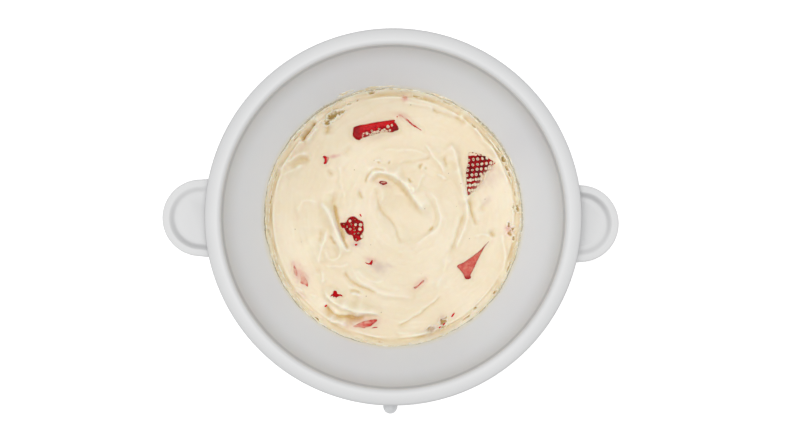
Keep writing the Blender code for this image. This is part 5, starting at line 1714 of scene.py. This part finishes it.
# %% [markdown]
# ## Films that dried on the wall
#
# Each turn of the paddle left a wavy bead of cream where its blade met the wall, and the next
# turn broke parts of it off. A bead is a thin tube with pointed ends along a wandering line
# just over the contact line, so a Geometry Nodes tree sweeps a small circle along every line
# and takes the thickness from an attribute.

# %% The tree that sweeps the beads
beading = GeometryBook("beads_along_lines")
bead_sides = beading.new_input("Sides", "NodeSocketInt", 6)
bead_finish = beading.new_input("Finish", "NodeSocketMaterial")
bead_line = beading.add("GeometryNodeMeshToCurve", {}, {"Mesh": beading.geometry})
bead_round = beading.add("GeometryNodeCurvePrimitiveCircle", {"mode": "RADIUS"},
                         {"Resolution": bead_sides, "Radius": 1.0})
bead_width = beading.add("GeometryNodeInputNamedAttribute", {"data_type": "FLOAT"}, {"Name": "half_width"})
bead_tube = beading.add("GeometryNodeCurveToMesh", {},
                        {"Curve": bead_line, "Profile Curve": bead_round,
                         "Scale": bead_width, "Fill Caps": True})
beading.finish_with(bead_tube, bead_finish)

# %% Where the beads run
BEADS = (
    # first and last bearing, distance in from the wall, height over the cream, half width, wander (mm)
    (64.0, 74.0, 0.1, 3.0, 0.70, 0.5), (66.0, 71.0, 0.2, 1.8, 0.55, 0.4),
    (88.0, 104.0, 0.1, 5.0, 0.42, 0.8), (94.0, 107.0, 0.1, 3.4, 0.40, 0.8),
    (98.0, 110.0, 0.2, 2.0, 0.52, 0.6), (109.0, 115.0, 0.1, 8.0, 0.40, 0.9),
    (108.0, 116.0, 0.1, 6.0, 0.44, 0.9), (76.0, 96.0, 0.4, 1.2, 0.45, 0.6),
    (52.0, 66.0, 0.4, 0.8, 0.45, 0.5), (38.0, 54.0, 1.2, 0.6, 0.50, 0.7),
    (30.0, 44.0, 3.0, 0.3, 0.55, 0.9), (20.0, 34.0, 1.8, 0.6, 0.60, 0.9),
    (24.0, 29.0, 0.1, 2.4, 0.40, 0.5), (15.0, 24.0, 4.0, 0.2, 0.45, 0.9),
    (4.0, 20.0, 1.4, 0.6, 0.55, 0.9), (-6.0, 8.0, 0.8, 0.5, 0.40, 0.7),
    (-20.0, -2.0, 1.6, 0.4, 0.50, 0.8), (-36.0, -16.0, 0.6, 0.5, 0.36, 0.5),
    (-54.0, -32.0, 0.5, 0.5, 0.36, 0.5), (-84.0, -58.0, 0.4, 0.6, 0.34, 0.4),
    (-112.0, -80.0, 0.4, 0.6, 0.36, 0.4), (-140.0, -104.0, 0.5, 0.6, 0.42, 0.5),
    (-168.0, -134.0, 0.6, 0.5, 0.46, 0.6), (168.0, 196.0, 0.7, 0.5, 0.50, 0.6),
    (146.0, 176.0, 0.5, 0.6, 0.46, 0.6), (126.0, 152.0, 0.8, 0.5, 0.50, 0.7),
    (112.0, 134.0, 1.0, 0.5, 0.50, 0.8), (158.0, 190.0, 2.6, 0.2, 0.32, 0.7),
    (-160.0, -128.0, 2.2, 0.1, 0.30, 0.6), (190.0, 214.0, 2.4, 0.1, 0.32, 0.6),
)
bead_points, bead_edges, bead_half = [], [], []
for number, (first, last, inward, over, half_width, wander) in enumerate(BEADS):
    steps = int(abs(last - first) * 2.0) + 6
    share = np.linspace(0.0, 1.0, steps)
    bearing = np.radians(first + (last - first) * share)
    bead_level = edge_height(bearing)
    drift = wander * patchy(np.degrees(bearing) / 4.5 + 40.0, share * 0.0 + number * 0.37, 91)
    height = bead_level + (over + drift) * MM
    ring = wall_radius(height) - (inward + 0.5 * wander * patchy(np.degrees(bearing) / 3.1 + 40.0,
                                                                share * 0.0 + number * 0.53, 92)) * MM
    half = half_width * np.sqrt(np.maximum(4.0 * share * (1.0 - share), 0.02))
    half *= 1.0 + 0.45 * patchy(np.degrees(bearing) / 2.3 + 40.0, share * 0.0 + number * 0.71, 93)
    ring = np.minimum(ring, wall_radius(height) - 0.5 * half * MM)
    start = len(bead_points)
    bead_points += list(zip(ring * np.cos(bearing), ring * np.sin(bearing), height))
    bead_edges += [(start + step, start + step + 1) for step in range(steps - 1)]
    bead_half += list(half * MM)
bead_mesh = bpy.data.meshes.new("bead_lines")
bead_mesh.from_pydata(bead_points, bead_edges, [])
paint(bead_mesh, "half_width", bead_half)
beads_done = beading.run(loose_object("bead_lines", bead_mesh), "wall_beads",
                         {"Sides": 7, "Finish": flake_finish.material})
beads_done.shade_smooth()
add_piece("wall_beads", face_outwards(beads_done), flake_finish)

# %% [markdown]
# ## A thin smear on the wall
#
# Above the contact line the paddle left a film of cream so thin that the wall shows through
# it. It is a closed shell a fraction of a millimetre thick that follows the liner, with a
# ragged upper edge; its finish thins out with the attribute that the shell carries.

# %% Smear shell
SMEAR_STEPS, SMEAR_ROWS = 480, 12
SMEAR_THICK = 0.12 * MM
smear_turn = np.linspace(0.0, 2.0 * math.pi, SMEAR_STEPS, endpoint=False)
smear_base = edge_height(smear_turn) - 1.0 * MM
smear_rise = (4.5 + 2.2 * patchy(smear_turn / (2 * math.pi) * 24.0, smear_turn * 0.0, 81, 24)
              + 1.2 * patchy(smear_turn / (2 * math.pi) * 96.0, smear_turn * 0.0, 82, 96)) * MM
smear_points, smear_fade = [], []
for skin_offset in (SMEAR_THICK, -SMEAR_THICK):
    for row in range(SMEAR_ROWS + 1):
        share = row / SMEAR_ROWS
        height = smear_base + smear_rise * share
        ring = wall_radius(height) - skin_offset * (1.0 - 0.9 * share)
        smear_points += list(zip(ring * np.cos(smear_turn), ring * np.sin(smear_turn), height))
        smear_fade += [1.0 - share] * SMEAR_STEPS
smear_faces = []
shell = (SMEAR_ROWS + 1) * SMEAR_STEPS
for step in range(SMEAR_STEPS):
    after = (step + 1) % SMEAR_STEPS
    for row in range(SMEAR_ROWS):
        low, high = row * SMEAR_STEPS, (row + 1) * SMEAR_STEPS
        smear_faces.append((low + step, high + step, high + after, low + after))
        smear_faces.append((shell + low + after, shell + high + after,
                            shell + high + step, shell + low + step))
    top = SMEAR_ROWS * SMEAR_STEPS
    smear_faces.append((top + step, shell + top + step, shell + top + after, top + after))
    smear_faces.append((after, shell + after, shell + step, step))
smear_mesh = face_outwards(mesh_from("wall_smear", smear_points, smear_faces))
paint(smear_mesh, "thick", smear_fade)
smear_finish = Finish("thin_cream_film", {"IOR": 1.38})
smear_mottle = smear_finish.noise(3.0, 4.0, 0.65)
film = (smear_finish.read("thick") + 0.9 * (smear_mottle - 0.55)).ease(0.15, 1.05)
smear_finish.set("Base Color", smear_finish.blend(smear_mottle, (0.80, 0.72, 0.52), (0.86, 0.80, 0.64)))
smear_finish.set("Alpha", film * 0.85)
smear_finish.set("Roughness", 0.35 + 0.2 * smear_mottle)
smear_finish.bump(smear_mottle, 0.10, 0.6)
add_piece("wall_smear", smear_mesh, smear_finish)

# %% Print the visual box and finish
low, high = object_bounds()
print("visual box", low, high)
